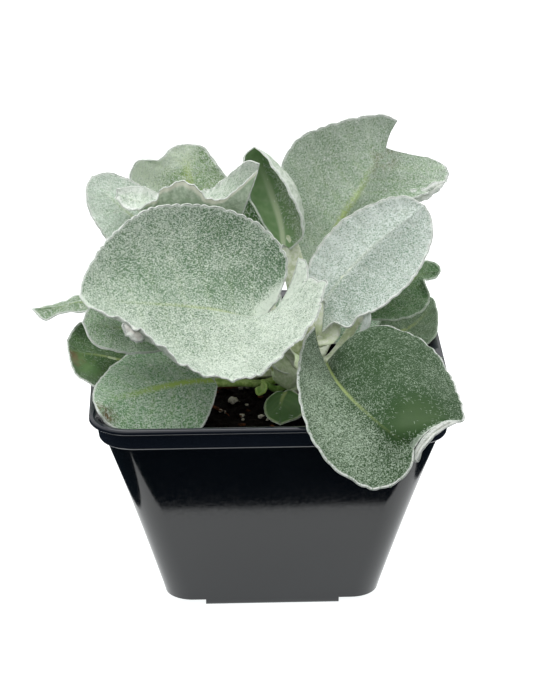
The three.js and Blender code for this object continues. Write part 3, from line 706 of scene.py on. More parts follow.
def bladeGrid(leaf, us, half):
    # points of the upper face, with what the materials want to know about each
    rib = evenly(leaf["rib"], us)
    ribLong = np.linalg.norm(np.diff(rib, axis=0), axis=1).sum()
    share = np.linspace(0, 1, half + 1)
    share = share - 0.6 * np.sin(2 * math.pi * share) / (2 * math.pi)
    sides = {}
    for side, word in ((-1, "Left"), (1, "Right")):
        reach = evenly(leaf[word.lower()], us) - rib
        length = np.linalg.norm(reach, axis=1)[:, None]
        up = upAt(sideUps(leaf, side), us, reach)[:, None, :]
        belly = blend(leaf.get("belly" + word, leaf.get("belly")), us)[:, None]
        hem = blend(leaf.get("hem" + word, [0]), us)[:, None]
        a = share[None, :]
        jitter = 0.2 * np.sin(us * leaf["teeth"] * 1.3 + side) + 0.15 * np.sin(us * leaf["teeth"] * 2.9)
        lobe = np.abs(np.sin(math.pi * (us * leaf["teeth"] + jitter))) ** 0.7
        fade = np.clip(np.minimum(leaf.get("toothFade", 4) * us, 6 * (1 - us)), 0, 1)
        outward = a + (leaf["toothDepth"] * (lobe * fade)[:, None] * a ** 8) / np.maximum(length, 1)
        points = rib[:, None, :] + reach[:, None, :] * outward[..., None]
        sink = belly * length * 4 * a * (1 - a)
        roll = hem * np.clip((a - 0.7) / 0.3, 0, 1) ** 2
        points = points + up * (roll - sink)[..., None]
        fromRib, toRim = a * length, (1 - a) * length
        ruffle = leaf.get("ruffle" + word, leaf.get("ruffle", 0.35))
        beat = 2 * math.pi * us * leaf["teeth"]
        wave = (0.6 * np.sin(beat * 0.5 + 1.7 * side) + 0.4 * np.sin(beat + side))[:, None]
        wave = wave * np.exp(-toRim / 3.5) * fade[:, None] * ruffle
        points = points + up * wave[..., None]
        veins = np.zeros_like(toRim)
        count = leaf.get("veins", 6)
        for k in range(count):
            start = (k + 0.35) / (count + 0.6)
            path = start + bladeSettings["veinLean"] * (a ** 1.25) * (1 - start)
            away = np.abs(us[:, None] - path) * ribLong
            veins = np.maximum(veins, np.exp(-(away / 0.75) ** 2) * np.clip(1.15 - a, 0, 1))
        veins = veins * np.clip(fromRib / 1.5, 0, 1)
        sides[side] = dict(points=points, fromRib=fromRib, toRim=toRim, veins=veins,
                           along=np.repeat(us[:, None], half + 1, 1), across=side * (a + 0 * length))
    grid = {}
    for key in ("points", "fromRib", "toRim", "veins", "along", "across"):
        left, right = sides[-1][key], sides[1][key]
        grid[key] = np.concatenate([left[:, :0:-1], right], axis=1)
    return grid, ribLong


def gridUps(points):
    across = np.empty_like(points)
    across[:, 1:-1] = points[:, 2:] - points[:, :-2]
    across[:, 0] = points[:, 1] - points[:, 0]
    across[:, -1] = points[:, -1] - points[:, -2]
    along = np.empty_like(points)
    along[1:-1] = points[2:] - points[:-2]
    along[0] = points[1] - points[0]
    along[-1] = points[-1] - points[-2]
    ups = np.cross(across, along)
    small = np.linalg.norm(ups, axis=-1) < 1e-4
    ups = unit(ups)
    if small[-1].any():
        ups[-1] = ups[-2]
    for _ in range(2):
        padded = np.pad(ups, ((1, 1), (1, 1), (0, 0)), mode="edge")
        ups = unit(sum(padded[1 + i:padded.shape[0] - 1 + i, 1 + j:padded.shape[1] - 1 + j]
                       for i in (-1, 0, 1) for j in (-1, 0, 1)))
    return ups


def bladeMesh(leaf):
    b = bladeSettings
    rows, half = leaf.get("rows", 96), leaf.get("half", 22)
    us = np.linspace(0, 1, rows + 1)
    grid, ribLong = bladeGrid(leaf, us, half)
    points = grid["points"]
    ups = gridUps(points)
    seed = leaf["seed"]
    swell = noiseAt(points, 9, seed) * b["swellHigh"] + noiseAt(points, 3.6, seed + 3) * b["rippleHigh"]
    calm = np.clip(grid["toRim"] / 3, 0.25, 1)
    groove = np.exp(-(grid["fromRib"] / 0.9) ** 2) * np.clip(1.1 - grid["along"], 0, 1)
    lift = swell * calm * leaf.get("swell", 1.0)
    lift -= leaf.get("groove", 0.35) * groove + b["veinDeep"] * grid["veins"]
    points = points + ups * lift[..., None]
    thick = b["rimThick"] + b["midThick"] * np.clip(grid["toRim"] / 4, 0, 1)
    keel = b["keel"] * np.exp(-(grid["fromRib"] / 1.3) ** 2) * np.clip(1.05 - grid["along"], 0, 1)
    below = points - ups * (thick + keel + b["veinUnder"] * grid["veins"])[..., None]
    pointed = np.linalg.norm(points[-1, 0] - points[-1, -1]) < 0.6
    width = points.shape[1]
    values = {key: [] for key in ("fromRib", "toRim", "veins", "along", "across")}
    spots, ids = [], {}

    def put(kind, i, j, spot):
        key = (kind, i, j)
        if pointed and i == rows:
            key = (kind, i, 0)
        if key not in ids:
            ids[key] = len(spots)
            spots.append(spot)
            for word, numbers in values.items():
                numbers.append(grid[word][i, j])
        return ids[key]

    top = [[put("top", i, j, points[i, j]) for j in range(width)] for i in range(rows + 1)]
    low = [[put("low", i, j, below[i, j]) for j in range(width)] for i in range(rows + 1)]
    faces, slots = [], []

    def face(slot, *corners):
        kept = [c for k, c in enumerate(corners) if c != corners[k - 1]]
        if len(set(kept)) >= 3:
            faces.append(tuple(kept))
            slots.append(slot)

    for i in range(rows):
        for j in range(width - 1):
            face(0, top[i][j], top[i][j + 1], top[i + 1][j + 1], top[i + 1][j])
            face(1, low[i][j], low[i + 1][j], low[i + 1][j + 1], low[i][j + 1])
    # the rim is rounded over, all the way round
    loop = [(i, 0) for i in range(rows)]
    loop += [(rows, 0)] if pointed else [(rows, j) for j in range(width)]
    loop += [(i, width - 1) for i in range(rows - (0 if pointed else 1), -1, -1)]
    if pointed:
        loop = [k for n, k in enumerate(loop) if not (k[0] == rows and n > rows)]
    loop += [(0, j) for j in range(width - 2, 0, -1)]
    count = len(loop)
    edge = np.array([points[k] for k in loop])
    up = np.array([ups[k] for k in loop])
    foot = np.array([below[k] for k in loop])
    run = np.roll(edge, -1, 0) - np.roll(edge, 1, 0)
    out = unit(np.cross(up, unit(run)))
    middle, radius = (edge + foot) / 2, np.linalg.norm(edge - foot, axis=1)[:, None] / 2
    rings = [[top[i][j] for i, j in loop]]
    for n, angle in enumerate((50, 90, 130)):
        turn = math.radians(angle)
        ring = middle + radius * (up * math.cos(turn) + out * math.sin(turn))
        rings.append([put("rim%d" % n, i, j, ring[k]) for k, (i, j) in enumerate(loop)])
    rings.append([low[i][j] for i, j in loop])
    for n in range(4):
        for k in range(count):
            m = (k + 1) % count
            face(2, rings[n][m], rings[n][k], rings[n + 1][k], rings[n + 1][m])
    return spots, faces, slots, values, grid, points, ups


def stalkPath(leaf):
    turn, height = math.radians(leaf["root"][0]), leaf["root"][1]

    def ring(radius, rise):
        return (crown["x"] + radius * math.cos(turn), crown["y"] + radius * math.sin(turn), height + rise)

    start = ring(crown["radius"] + crown["stalkGap"], 0)
    return [start, ring(crown["radius"] + 3.2, 0.8), *leaf["stalk"], leaf["rib"][0]]


def stalkMesh(leaf):
    # a channelled stalk that runs on beneath the blade and dies away
    path, sides, steps, under = stalkPath(leaf), 18, 26, 22
    tall, tipTall, channel = (bladeSettings[k] for k in ("stalkTall", "tipTall", "channel"))
    reach = leaf.get("ribReach", bladeSettings["ribReach"])
    found = sideUps(leaf, -1) + sideUps(leaf, 1)
    s = np.linspace(0, 1, steps, endpoint=False)
    u = np.linspace(0, reach, under)
    spots = evenly(path, s)
    run = tangents(path, s)
    bladeUp = upAt(found, np.zeros(1), tangents(leaf["rib"], np.zeros(1)))[0]
    first = run[0]
    rootUp = unit(np.array([0, 0, 1.0]) - first[2] * first)
    up = unit(rootUp + (bladeUp - rootUp) * s[:, None] ** 1.5)
    spots = spots - up * (s * (tall + 0.3))[:, None]
    wide = blend(leaf["stalkWidth"], s)
    high = np.full(steps, tall)
    ribUp = upAt(found, u, tangents(leaf["rib"], u))
    fade = 1 - u / reach
    ribHigh = tipTall + (tall - tipTall) * fade
    spots = np.vstack([spots, evenly(leaf["rib"], u) - ribUp * (ribHigh + 0.35)[:, None]])
    run = np.vstack([run, tangents(leaf["rib"], u)])
    up = np.vstack([up, ribUp])
    wide = np.concatenate([wide, 0.4 + (leaf["stalkWidth"][-1] - 0.4) * fade ** 1.6])
    high = np.concatenate([high, ribHigh])
    up = unit(up - (up * run).sum(1, keepdims=True) * run)
    side = np.cross(run, up)
    points = []
    shift = leaf["seed"] * 3.1
    channel = np.concatenate([np.full(steps, channel), channel * fade])
    for i in range(len(spots)):
        for k in range(sides):
            angle = 2 * math.pi * k / sides
            c, n = math.cos(angle), math.sin(angle)
            dip = channel[i] * math.exp(-(c / 0.45) ** 2) if n > 0 else 0
            line = 1 + 0.05 * noise.noise(Vector((k * 1.3, i * 0.12, shift)))
            points.append(spots[i] + (side[i] * c * wide[i] + up[i] * (n - dip) * high[i]) * line)
    share = np.repeat(np.concatenate([s * 0.5, 0.5 + 0.5 * u]), sides)
    return points, tubeFaces(len(spots) - 1, sides), share


def weightOf(patches, grid, ribLong):
    # how much of the soft-edged patches lies at each point
    total = np.zeros_like(grid["along"])
    wide = grid["fromRib"] + grid["toRim"]
    for along, across, ru, rv, strength in patches:
        du = (grid["along"] - along) * ribLong / ru
        dv = (grid["across"] - across) * wide / rv
        total = np.maximum(total, strength * np.clip(1.6 - np.sqrt(du ** 2 + dv ** 2) * 1.1, 0, 1))
    return np.clip(total, 0, 1)


def makeLeaf(leaf):
    spots, faces, slots, values, grid, points, ups = bladeMesh(leaf)
    ribLong = np.linalg.norm(np.diff(evenly(leaf["rib"], np.linspace(0, 1, 60)), axis=0), axis=1).sum()
    lookup = {word: np.array(values[word])[None] for word in ("along", "across", "fromRib", "toRim")}
    for word in ("bare", "brown", "pale", "thinFeltAndShade"):
        values[word] = list(weightOf(leaf.get(word, []), lookup, ribLong)[0])
    base = len(spots)
    more, sides, share = stalkMesh(leaf) if "stalk" in leaf else ([], [], [])
    spots += more
    faces += [tuple(k + base for k in side) for side in sides]
    slots += [3] * len(sides)
    for word, numbers in values.items():
        numbers += list(share) if word == "along" else [9.0 if word == "toRim" else 0.0] * len(more)
    materials = [leafSkin(leaf), underSkin(leaf), rimSkin(leaf), stalkSkin(leaf)]
    pieces = [meshObject(leaf["name"], spots, faces, materials, slots, values)]
    if leaf.get("down", {}) is not None:
        pieces.append(makeDown(leaf, grid, points, ups, ribLong))
    for piece in pieces:
        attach(piece, "root")
        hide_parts(leaf["node"])


downSettings = dict(
    perArea=1.8,  # hairs to a square millimetre of felt
    long=(0.6, 1.6),
    wide=0.21,
    high=0.11,
    rimPerLength=9.0,
    rimLong=(0.2, 0.45),
)


def hairMesh(roots, runs, ups, long, wide, high):
    # each hair is a slim closed wedge: a flat foot, a low back and a pointed tip
    side = np.cross(runs, ups)
    start = roots - runs * long * 0.5
    corners = np.stack([
        start - side * wide * 0.5,
        start + side * wide * 0.5,
        start + runs * long * 0.3 + ups * high,
        start + runs * long + ups * high * 0.6,
    ], axis=1).reshape(-1, 3)
    base = (np.arange(len(roots)) * 4)[:, None, None]
    faces = base + np.array([[0, 2, 1], [0, 3, 2], [1, 2, 3], [0, 1, 3]])[None]
    return corners, faces.reshape(-1, 3).tolist()


def downSkin(leaf):
    look = dict(down="e6ede4", downShade="b9c9bb")
    look.update({k: v for k, v in leaf["look"].items() if k in look})
    g = Graph(leaf["name"] + "Down")
    shade = g.mix(g.fit(g.noise(1100, 2), 0.35, 0.65), tint(look["downShade"]), tint(look["down"]))
    return g.finish(shade, 0.75, **{"Specular IOR Level": 0.35})


def makeDown(leaf, grid, points, ups, ribLong):
    s = dict(downSettings)
    s.update(leaf.get("down", {}))
    draw = np.random.default_rng(leaf["seed"])
    p00, p10, p01 = points[:-1, :-1], points[1:, :-1], points[:-1, 1:]
    area = np.linalg.norm(np.cross(p10 - p00, p01 - p00), axis=-1)
    bald = weightOf(leaf.get("bare", []), grid, ribLong)
    thinFeltAndShade = weightOf(leaf.get("thinFeltAndShade", []), grid, ribLong)
    onRib = np.exp(-(grid["fromRib"] / 0.9) ** 2) * np.clip(1.2 - grid["along"], 0, 1)
    # fewer hairs where thin felt lies: sparser felt, and on some leaves partly painted shade
    dense = s["perArea"] * np.clip(1 - bald * 1.2, 0, 1) * (1 - thinFeltAndShade * 0.5) * (1 - 0.8 * onRib) + 1e-6
    wanted = area * dense[:-1, :-1]
    count = int(wanted.sum())
    cell = draw.choice(wanted.size, size=count, p=(wanted / wanted.sum()).ravel())
    i, j = np.divmod(cell, wanted.shape[1])
    a, b = draw.random((2, count, 1))
    roots = (points[i, j] * (1 - a) * (1 - b) + points[i + 1, j] * a * (1 - b)
             + points[i, j + 1] * (1 - a) * b + points[i + 1, j + 1] * a * b)
    normals = ups[i, j]
    along = unit(points[i + 1, j] - points[i, j])
    along = unit(along - (along * normals).sum(1, keepdims=True) * normals)
    turn = draw.normal(0, 1.1, (count, 1))
    runs = along * np.cos(turn) + np.cross(normals, along) * np.sin(turn)
    long = draw.uniform(*s["long"], (count, 1))
    corners, faces = hairMesh(roots + normals * 0.02, runs, normals, long,
                              s["wide"] * draw.uniform(0.7, 1.3, (count, 1)), s["high"])
    # a fringe round the rim
    for column, inner in ((0, 1), (points.shape[1] - 1, points.shape[1] - 2)):
        edge, within = points[:, column], points[:, inner]
        gap = np.linalg.norm(np.diff(edge, axis=0), axis=1)
        count = int(gap.sum() * s["rimPerLength"])
        if count < 2:
            continue
        at = np.sort(draw.uniform(0, gap.sum(), count))
        where = np.interp(at, np.concatenate([[0], np.cumsum(gap)]), np.arange(len(edge)))
        low = np.minimum(where.astype(int), len(edge) - 2)
        t = (where - low)[:, None]
        roots = edge[low] * (1 - t) + edge[low + 1] * t
        normals = ups[low, column]
        out = unit(edge[low] - within[low])
        tilt = draw.normal(0, 0.5, (count, 1))
        sway = draw.normal(0, 0.7, (count, 1))
        runs = unit(out + normals * (tilt - 0.3) + np.cross(normals, out) * sway)
        long = draw.uniform(*s["rimLong"], (count, 1))
        square = unit(np.cross(np.cross(runs, normals), runs))
        spots = roots - normals * draw.uniform(0, 0.45, (count, 1)) + runs * long * 0.4
        more, sides = hairMesh(spots, runs, square, long, s["wide"] * 0.8, s["high"] * 0.8)
        faces += (np.asarray(sides) + len(corners)).tolist()
        corners = np.vstack([corners, more])
    return meshObject(leaf["name"] + "Down", corners, faces, [downSkin(leaf)], smooth=False)


# leaf skins

def feltPattern(g, size):
    # short matted hairs, lighter and darker by turns
    speck = g.noise(3100 * size, 1.0, 0.6)
    one = g.noise(3800 * size, 1.0, 0.6, 0.4, g.stretched((1, 0.35, 0.7), (0.4, 0.2, 0.9)))
    two = g.noise(3600 * size, 1.0, 0.6, 0.4, g.stretched((0.35, 1, 0.6), (0.1, -0.5, -0.6)))
    hairs = g.calc("MAXIMUM", one, two)
    return g.calc("ADD", g.calc("MULTIPLY", speck, 0.5), g.calc("MULTIPLY", hairs, 0.5))


def leafSkin(leaf):
    look = dict(
        felt="dfe9e1", shade="8aa38c", green="4c7440",
        cover=0.62,  # share of the blade that the pale hairs hide
        soft=0.05, mottle=0.5, size=1.0,
        ribTint="b6c47c", ribShow=0.55, ribWidth=1.1,
        rim="eef2ed", rimWidth=0.45, bareTint="557d41", rough=0.9,
    )
    look.update(leaf["look"])
    g = Graph(leaf["name"] + "Upper")
    pattern = feltPattern(g, look["size"])
    cloud = g.noise(70, 3, 0.55)
    blot = g.noise(260, 2, 0.6)
    drift = g.calc("ADD", g.calc("MULTIPLY", g.calc("SUBTRACT", cloud, 0.5), look["mottle"]),
                   g.calc("MULTIPLY", g.calc("SUBTRACT", blot, 0.5), look["mottle"] * 0.5))
    bare = g.value("bare")
    pale = g.value("pale")
    limit = g.calc("SUBTRACT", 0.56 + (0.5 - look["cover"]) * 0.35, g.calc("MULTIPLY", drift, 0.3))
    limit = g.calc("ADD", limit, g.calc("MULTIPLY", bare, 0.35))
    # fewer pale hairs where thin felt lies: sparser felt, and on some leaves partly painted shade
    limit = g.calc("ADD", limit, g.calc("MULTIPLY", g.value("thinFeltAndShade"), 0.045))
    # pale patches call up more pale hairs: real pale felt, and on some leaves partly painted light
    limit = g.calc("SUBTRACT", limit, g.calc("MULTIPLY", pale, 0.2))
    low = g.calc("SUBTRACT", limit, look["soft"])
    high = g.calc("ADD", limit, look["soft"])
    share = g.fit(pattern, low, high)
    under = g.mix(g.calc("MULTIPLY", bare, 0.9, True), tint(look["shade"]), tint(look["bareTint"]))
    under = g.mix(g.calc("MULTIPLY", g.fit(blot, 0.4, 0.65), 0.35), under, tint(look["green"]))
    color = g.mix(share, under, tint(look["felt"]))
    rib = g.calc("MULTIPLY", g.fit(g.value("fromRib"), look["ribWidth"], 0.2), look["ribShow"])
    rib = g.calc("MULTIPLY", rib, g.fit(g.value("along"), 1.0, 0.25))
    color = g.mix(rib, color, tint(look["ribTint"]))
    vein = g.calc("MULTIPLY", g.value("veins"), look["ribShow"] * 0.12)
    color = g.mix(vein, color, tint(look["ribTint"]))
    color = g.mix(g.calc("MULTIPLY", g.value("brown"), g.fit(blot, 0.35, 0.6)), color, tint("6e5a3a"))
    rim = g.fit(g.calc("ADD", g.value("toRim"), g.calc("MULTIPLY", speckOf(g), 0.6)),
                look["rimWidth"] + 0.3, look["rimWidth"] * 0.4)
    color = g.mix(g.calc("MULTIPLY", rim, 0.85), color, tint(look["rim"]))
    rough = g.fit(bare, 0, 1, look["rough"], 0.5)
    normal = g.bump(g.calc("MULTIPLY", pattern, g.fit(bare, 0.2, 0.9, 1, 0.2)), 0.00035, 0.8)
    return g.finish(color, rough, normal, **{"Sheen Weight": 0.12, "Sheen Roughness": 0.5,
                                             "Specular IOR Level": 0.3})


def speckOf(g):
    return g.calc("SUBTRACT", g.noise(1400, 1), 0.5)


def underSkin(leaf):
    look = dict(felt="d3dcd0", shade="a9b8a4", rough=0.85, rim="dfe6dd", rimWidth=0.9)
    look.update(leaf.get("under", {}))
    g = Graph(leaf["name"] + "Under")
    matted = g.noise(900, 3, 0.6)
    cloud = g.noise(90, 3, 0.5)
    share = g.fit(g.calc("ADD", matted, g.calc("MULTIPLY", g.calc("SUBTRACT", cloud, 0.5), 0.5)), 0.35, 0.7)
    color = g.mix(share, tint(look["shade"]), tint(look["felt"]))
    color = g.mix(g.calc("MULTIPLY", g.value("veins"), 0.3), color, tint("e4e9dc"))
    rim = g.fit(g.value("toRim"), look["rimWidth"], look["rimWidth"] * 0.4)
    color = g.mix(g.calc("MULTIPLY", rim, 0.8), color, tint(look["rim"]))
    return g.finish(color, look["rough"], g.bump(matted, 0.00018), **{"Sheen Weight": 0.15})


def rimSkin(leaf):
    look = dict(rim="f0f4ef", rimShade="d3dcd1")
    look.update({k: v for k, v in leaf["look"].items() if k in look})
    g = Graph(leaf["name"] + "Rim")
    matted = g.noise(1500, 2, 0.6)
    color = g.mix(g.fit(matted, 0.35, 0.6), tint(look["rimShade"]), tint(look["rim"]))
    return g.finish(color, 0.9, g.bump(matted, 0.0002), **{"Sheen Weight": 0.2})


def stalkSkin(leaf):
    # stalks are coloured near white: partly their own pale felt, partly painted light where they sit in shade
    # beneath the blades
    look = dict(felt="eaf0de", shade="c5d2ab")
    look.update(leaf.get("stalkLook", {}))
    g = Graph(leaf["name"] + "Stalk")
    lines = g.noise(700, 3, 0.6, 0.2)
    cloud = g.noise(150, 2)
    share = g.fit(g.calc("ADD", lines, g.calc("MULTIPLY", g.calc("SUBTRACT", cloud, 0.5), 0.6)), 0.35, 0.65)
    color = g.mix(share, tint(look["shade"]), tint(look["felt"]))
    return g.finish(color, 0.75, g.bump(lines, 0.00015), **{"Sheen Weight": 0.1})


# the leaves, from the front round

leafFrontLeft = dict(
    name="leafFrontLeft", node="leaf_front_left",
    root=(250, 72), stalkWidth=(2.2, 4.2, 3),
    stalk=[(5.5, -10, 78.5)],
    rib=[(-2, -14, 90.5), (-9.5, -17, 94), (-18.5, -20, 98), (-34.5, -24, 101.5), (-50, -27, 104),
        (-59, -29, 106.5)],
    left=[(9.2, -10, 110.7), (11.6, -12, 109.7), (11.5, -14.5, 106.6), (10, -16.5, 104.4),
        (11.6, -18, 106), (14, -20, 107.2), (17.2, -22.5, 106.7), (15.5, -26, 105.4),
        (14.8, -29.5, 102.8), (13.4, -33, 100.6), (10.1, -38, 98), (5, -44, 95),
        (-5.5, -50, 88.5), (-16, -51, 88), (-26.5, -50, 91), (-36, -46, 97), (-45, -41, 102),
        (-55.5, -34, 104.5), (-59, -29, 106.5)],
    right=[(2.5, -10, 96), (5.5, -4, 107), (-1.5, 0, 116.5), (-13.5, 1.5, 122.5), (-27, 1, 124.5),
        (-39, -3, 124), (-50.5, -11, 117.5), (-57.5, -22, 110.5), (-59, -29, 106.5)],
    bellyLeft=[0.15, 0.12, 0.08, 0.05], bellyRight=[0.16, 0.2, 0.18, 0.1], teeth=29, toothDepth=0.85,
    rows=230, half=40, seed=1, veins=7, toothFade=14, ruffle=0.4, ruffleLeft=1.1,
    hemLeft=[0, 0, 0, 0, 0, 0.4, 1.6, 1.0, 0],
    # the first pale patch whitens the sinus band: partly its own smooth pale underside, partly painted light
    # where the band sits in shadow
    pale=[(0.0, -0.6, 4.6, 40, 1.0), (0.1, -0.7, 26, 20, 0.22), (0.45, -0.9, 30, 14, 0.2),
        (0.84, -1.0, 9, 2.4, 1.0), (0.45, -1.0, 60, 1.3, 0.8)],
    # the thin patches leave fewer pale hairs on the upper half: partly sparser felt, partly painted shade
    # where it faces away from the light
    thinFeltAndShade=[(0.18, 0.5, 24, 20, 1.0), (0.5, 0.5, 30, 22, 0.5)],
    look=dict(felt="dde8da", shade="587958", green="4f7a48", cover=0.61, size=1.15, ribShow=0.4,
        rimWidth=0.4),
)
makeLeaf(leafFrontLeft)

# the clasping foot of the same leaf's stalk
sheathFrontLeft = dict(
    name="sheathFrontLeft", node="leaf_front_left",
    rib=[(-0.6, -15, 76.1), (3, -13.5, 70.2), (6.9, -11.5, 67.1), (11.2, -9, 67.3)],
    left=[(-0.6, -15.5, 77), (1.9, -16, 74.8), (5.8, -14, 72.4), (11.5, -10, 71.3)],
    right=[(-0.5, -13, 76.3), (1.8, -11, 78.2), (6.1, -8, 77.5), (11.4, -4, 74.3)],
    belly=[0.25], teeth=2, toothDepth=0, ruffle=0.05, swell=0.3, groove=0.0,
    rows=40, half=12, seed=21, veins=0, bare=[(0.5, 0, 40, 40, 1.0)],
    # its colours are raised near white: partly its own pale felt, partly painted light, as it sits in shade
    # under the blade
    look=dict(felt="e6edcf", shade="cbd6a4", bareTint="cdd6a6", green="b9c586", rim="f0f6e2", rimWidth=0.3),
    under=dict(felt="ecf7d9", shade="cfe2b4"), down=None,
)
makeLeaf(sheathFrontLeft)

# the torn corner of its margin, folded down
flapFrontLeft = dict(
    name="flapFrontLeft", node="leaf_front_left",
    rib=[(-45.5, -40.5, 101), (-43.7, -41.5, 99.8), (-41.9, -42.5, 98.2), (-40.4, -43, 96.7)],
    left=[(-45.8, -41, 100.9), (-44.6, -42.5, 99.2), (-42.5, -43.5, 97.6), (-40.4, -43, 96.7)],
    right=[(-44, -40.5, 101), (-41.9, -41, 100.2), (-39.7, -42, 99.2), (-40.4, -43, 96.7)],
    belly=[0.1], teeth=4, toothDepth=0.5, ruffle=0.5, swell=0.8, groove=0.1,
    rows=30, half=10, seed=22, veins=0, brown=[(0.1, -0.9, 3, 2, 0.9)],
    look=dict(ribShow=0.0, felt="f3f2ec", shade="d8d7cd", cover=0.85, rimWidth=0.5),
    under=dict(felt="f3f2ec", shade="d8d7cd"),
)
makeLeaf(flapFrontLeft)

leafRightPale = dict(
    name="leafRightPale", node="leaf_right_pale",
    root=(30, 76.5), stalkWidth=(3.0, 5.0, 3.4), ribReach=0.3,
    # its stalk is paler still: partly its own pale felt, partly painted light on a stalk that sits in shade
    # beneath the blade
    stalkLook=dict(felt="f6faee", shade="dde8c8"),
    stalk=[(18.5, 0, 80)],
    rib=[(18.5, 3, 91), (25, 7, 98), (34, 12, 105.5), (43, 17, 111), (52, 22, 116)],
    left=[(10.4, 3, 90.3), (12.3, 8, 97.4), (17.5, 15, 105.1), (25.2, 19, 112.1), (35, 22, 116.5),
        (45, 24, 118.5), (52, 22, 116)],
    right=[(17.4, -1, 81.4), (21.2, -2, 85.2), (25.6, -4, 84.2), (28.9, -3, 87.6),
        (33.1, -2.5, 89.1), (38.7, -0.5, 91.7), (47, 5, 97.5), (53, 13, 105.5), (54, 19, 112),
        (52, 22, 116)],
    belly=[0.06, 0.1, 0.08], teeth=14, toothDepth=0.35,
    rows=120, half=34, seed=2, veins=6,
    thinFeltAndShade=[(0.2, 0.55, 13, 9, 1.0), (0.4, 0.5, 14, 8, 0.7)],
    look=dict(felt="dbe5df", shade="7f9c85", cover=0.75, soft=0.06, ribShow=0.3, ribTint="dfe6d2"),
)
makeLeaf(leafRightPale)

# a narrow lobe of its margin that curls down
curlRightPale = dict(
    name="curlRightPale", node="leaf_right_pale",
    rib=[(32.1, 1, 87.7), (31.8, -2.5, 86.7), (31.1, -3.5, 84.3), (30.3, -4, 82.4)],
    left=[(33.2, 1.5, 87.4), (33.2, -2, 86.1), (32.5, -3, 83.7), (31.2, -3.5, 82.2)],
    right=[(31, 1.5, 87.1), (30.6, -2, 86.5), (29.9, -3, 84.1), (29.4, -3.5, 82.6)],
    belly=[-0.3], teeth=2, toothDepth=0, ruffle=0.05, swell=0.3, groove=0.0,
    rows=36, half=10, seed=23, veins=0, pale=[(0.5, 0, 40, 40, 1.0)],
    look=dict(ribShow=0.0, felt="dbe5df", shade="b9cabc", cover=0.85, rimWidth=0.5),
    under=dict(felt="dbe5df", shade="c0cfc2"),
)
makeLeaf(curlRightPale)

leafBackTall = dict(
    name="leafBackTall", node="leaf_back_tall",
    root=(78, 76.5), stalkWidth=(1.9, 3, 2.6),
    stalk=[(17, 12, 80)],
    rib=[(19.5, 20, 97.5), (24.5, 26, 109), (30.5, 30, 117), (35.5, 35, 124), (40.5, 41, 129.5)],
    left=[(11.1, 18, 96.3), (7, 25, 105.5), (5, 27, 118.5), (6.5, 30, 128.5), (11.5, 33, 135.5),
        (20, 36, 138.5), (29, 39, 140), (39, 42, 140.5), (44.5, 44, 138)],
    right=[(26.5, 23, 97.5), (36.5, 28, 106), (45.5, 33, 113), (55.5, 38, 115.5), (61, 42, 118.5),
        (60.5, 45.5, 121.5), (55.5, 47, 124)],
    belly=[0.08, 0.12, 0.08], teeth=16, toothDepth=0.6,
    rows=130, half=36, seed=3, veins=7,
    brown=[(0.9, 0.1, 6, 5, 0.35)],
    look=dict(felt="c6d4c3", shade="86a17f", cover=0.6, ribShow=0.9, ribTint="b4c87e", ribWidth=2.2),
)
makeLeaf(leafBackTall)

# its lower margin, folded up and toothed
foldBackTall = dict(
    name="foldBackTall", node="leaf_back_tall",
    rib=[(45.2, 37, 113.3), (49.3, 37.3, 114), (53.3, 37.8, 114.3), (57.3, 38.5, 116.5), (61, 39.5, 118.2)],
    left=[(45.3, 37.5, 114.2), (48.9, 37.8, 115.4), (53, 38.3, 115.6), (56.7, 39, 117.5),
        (61, 39.5, 118.2)],
    right=[(45.9, 36.5, 112.8), (49.6, 36.8, 112.6), (53.6, 37.3, 112.7), (57.6, 38.2, 115.3),
        (61, 39.5, 118.2)],
    belly=[-0.2], teeth=5, toothDepth=0.5, ruffle=0.4, swell=0.6, groove=0.1,
    rows=50, half=10, seed=24, veins=0, pale=[(0.5, -1, 40, 3, 0.6)],
    look=dict(ribShow=0.0, felt="e3e8df", shade="aab59f", cover=0.66, rimWidth=0.6),
    under=dict(felt="dfe5da", shade="bcc6b5"),
)
makeLeaf(foldBackTall)

leafBackFolded = dict(
    name="leafBackFolded", node="leaf_back_folded",
    root=(90, 82), stalkWidth=(1.3, 3.6, 4.6), ribReach=0.25,
    stalk=[(9.5, 9, 96)],
    rib=[(5.5, 14, 106), (4.5, 19, 113), (1.5, 24, 121.5), (-1.5, 26, 129.5), (-3.5, 24, 136)],
    left=[(4.6, 14, 105), (0.4, 14, 112), (-4.5, 16, 121), (-6.5, 18, 129), (-6.5, 20, 134.5),
        (-3.5, 24, 136)],
    right=[(7.6, 12.6, 105), (11.3, 9, 112), (8.5, 9, 122.5), (3, 14, 131), (-1, 20, 135),
        (-3.5, 24, 136)],
    belly=[0.25, 0.3, 0.2], teeth=8, toothDepth=0.3,
    rows=90, half=26, seed=4, veins=7, bare=[(0.55, -0.35, 60, 5.5, 1.0)],
    look=dict(felt="c3d3b9", shade="7d9a70", green="5d8550", bareTint="8cae7b", cover=0.55,
        ribShow=0.8, ribTint="d3e0be"),
)
makeLeaf(leafBackFolded)

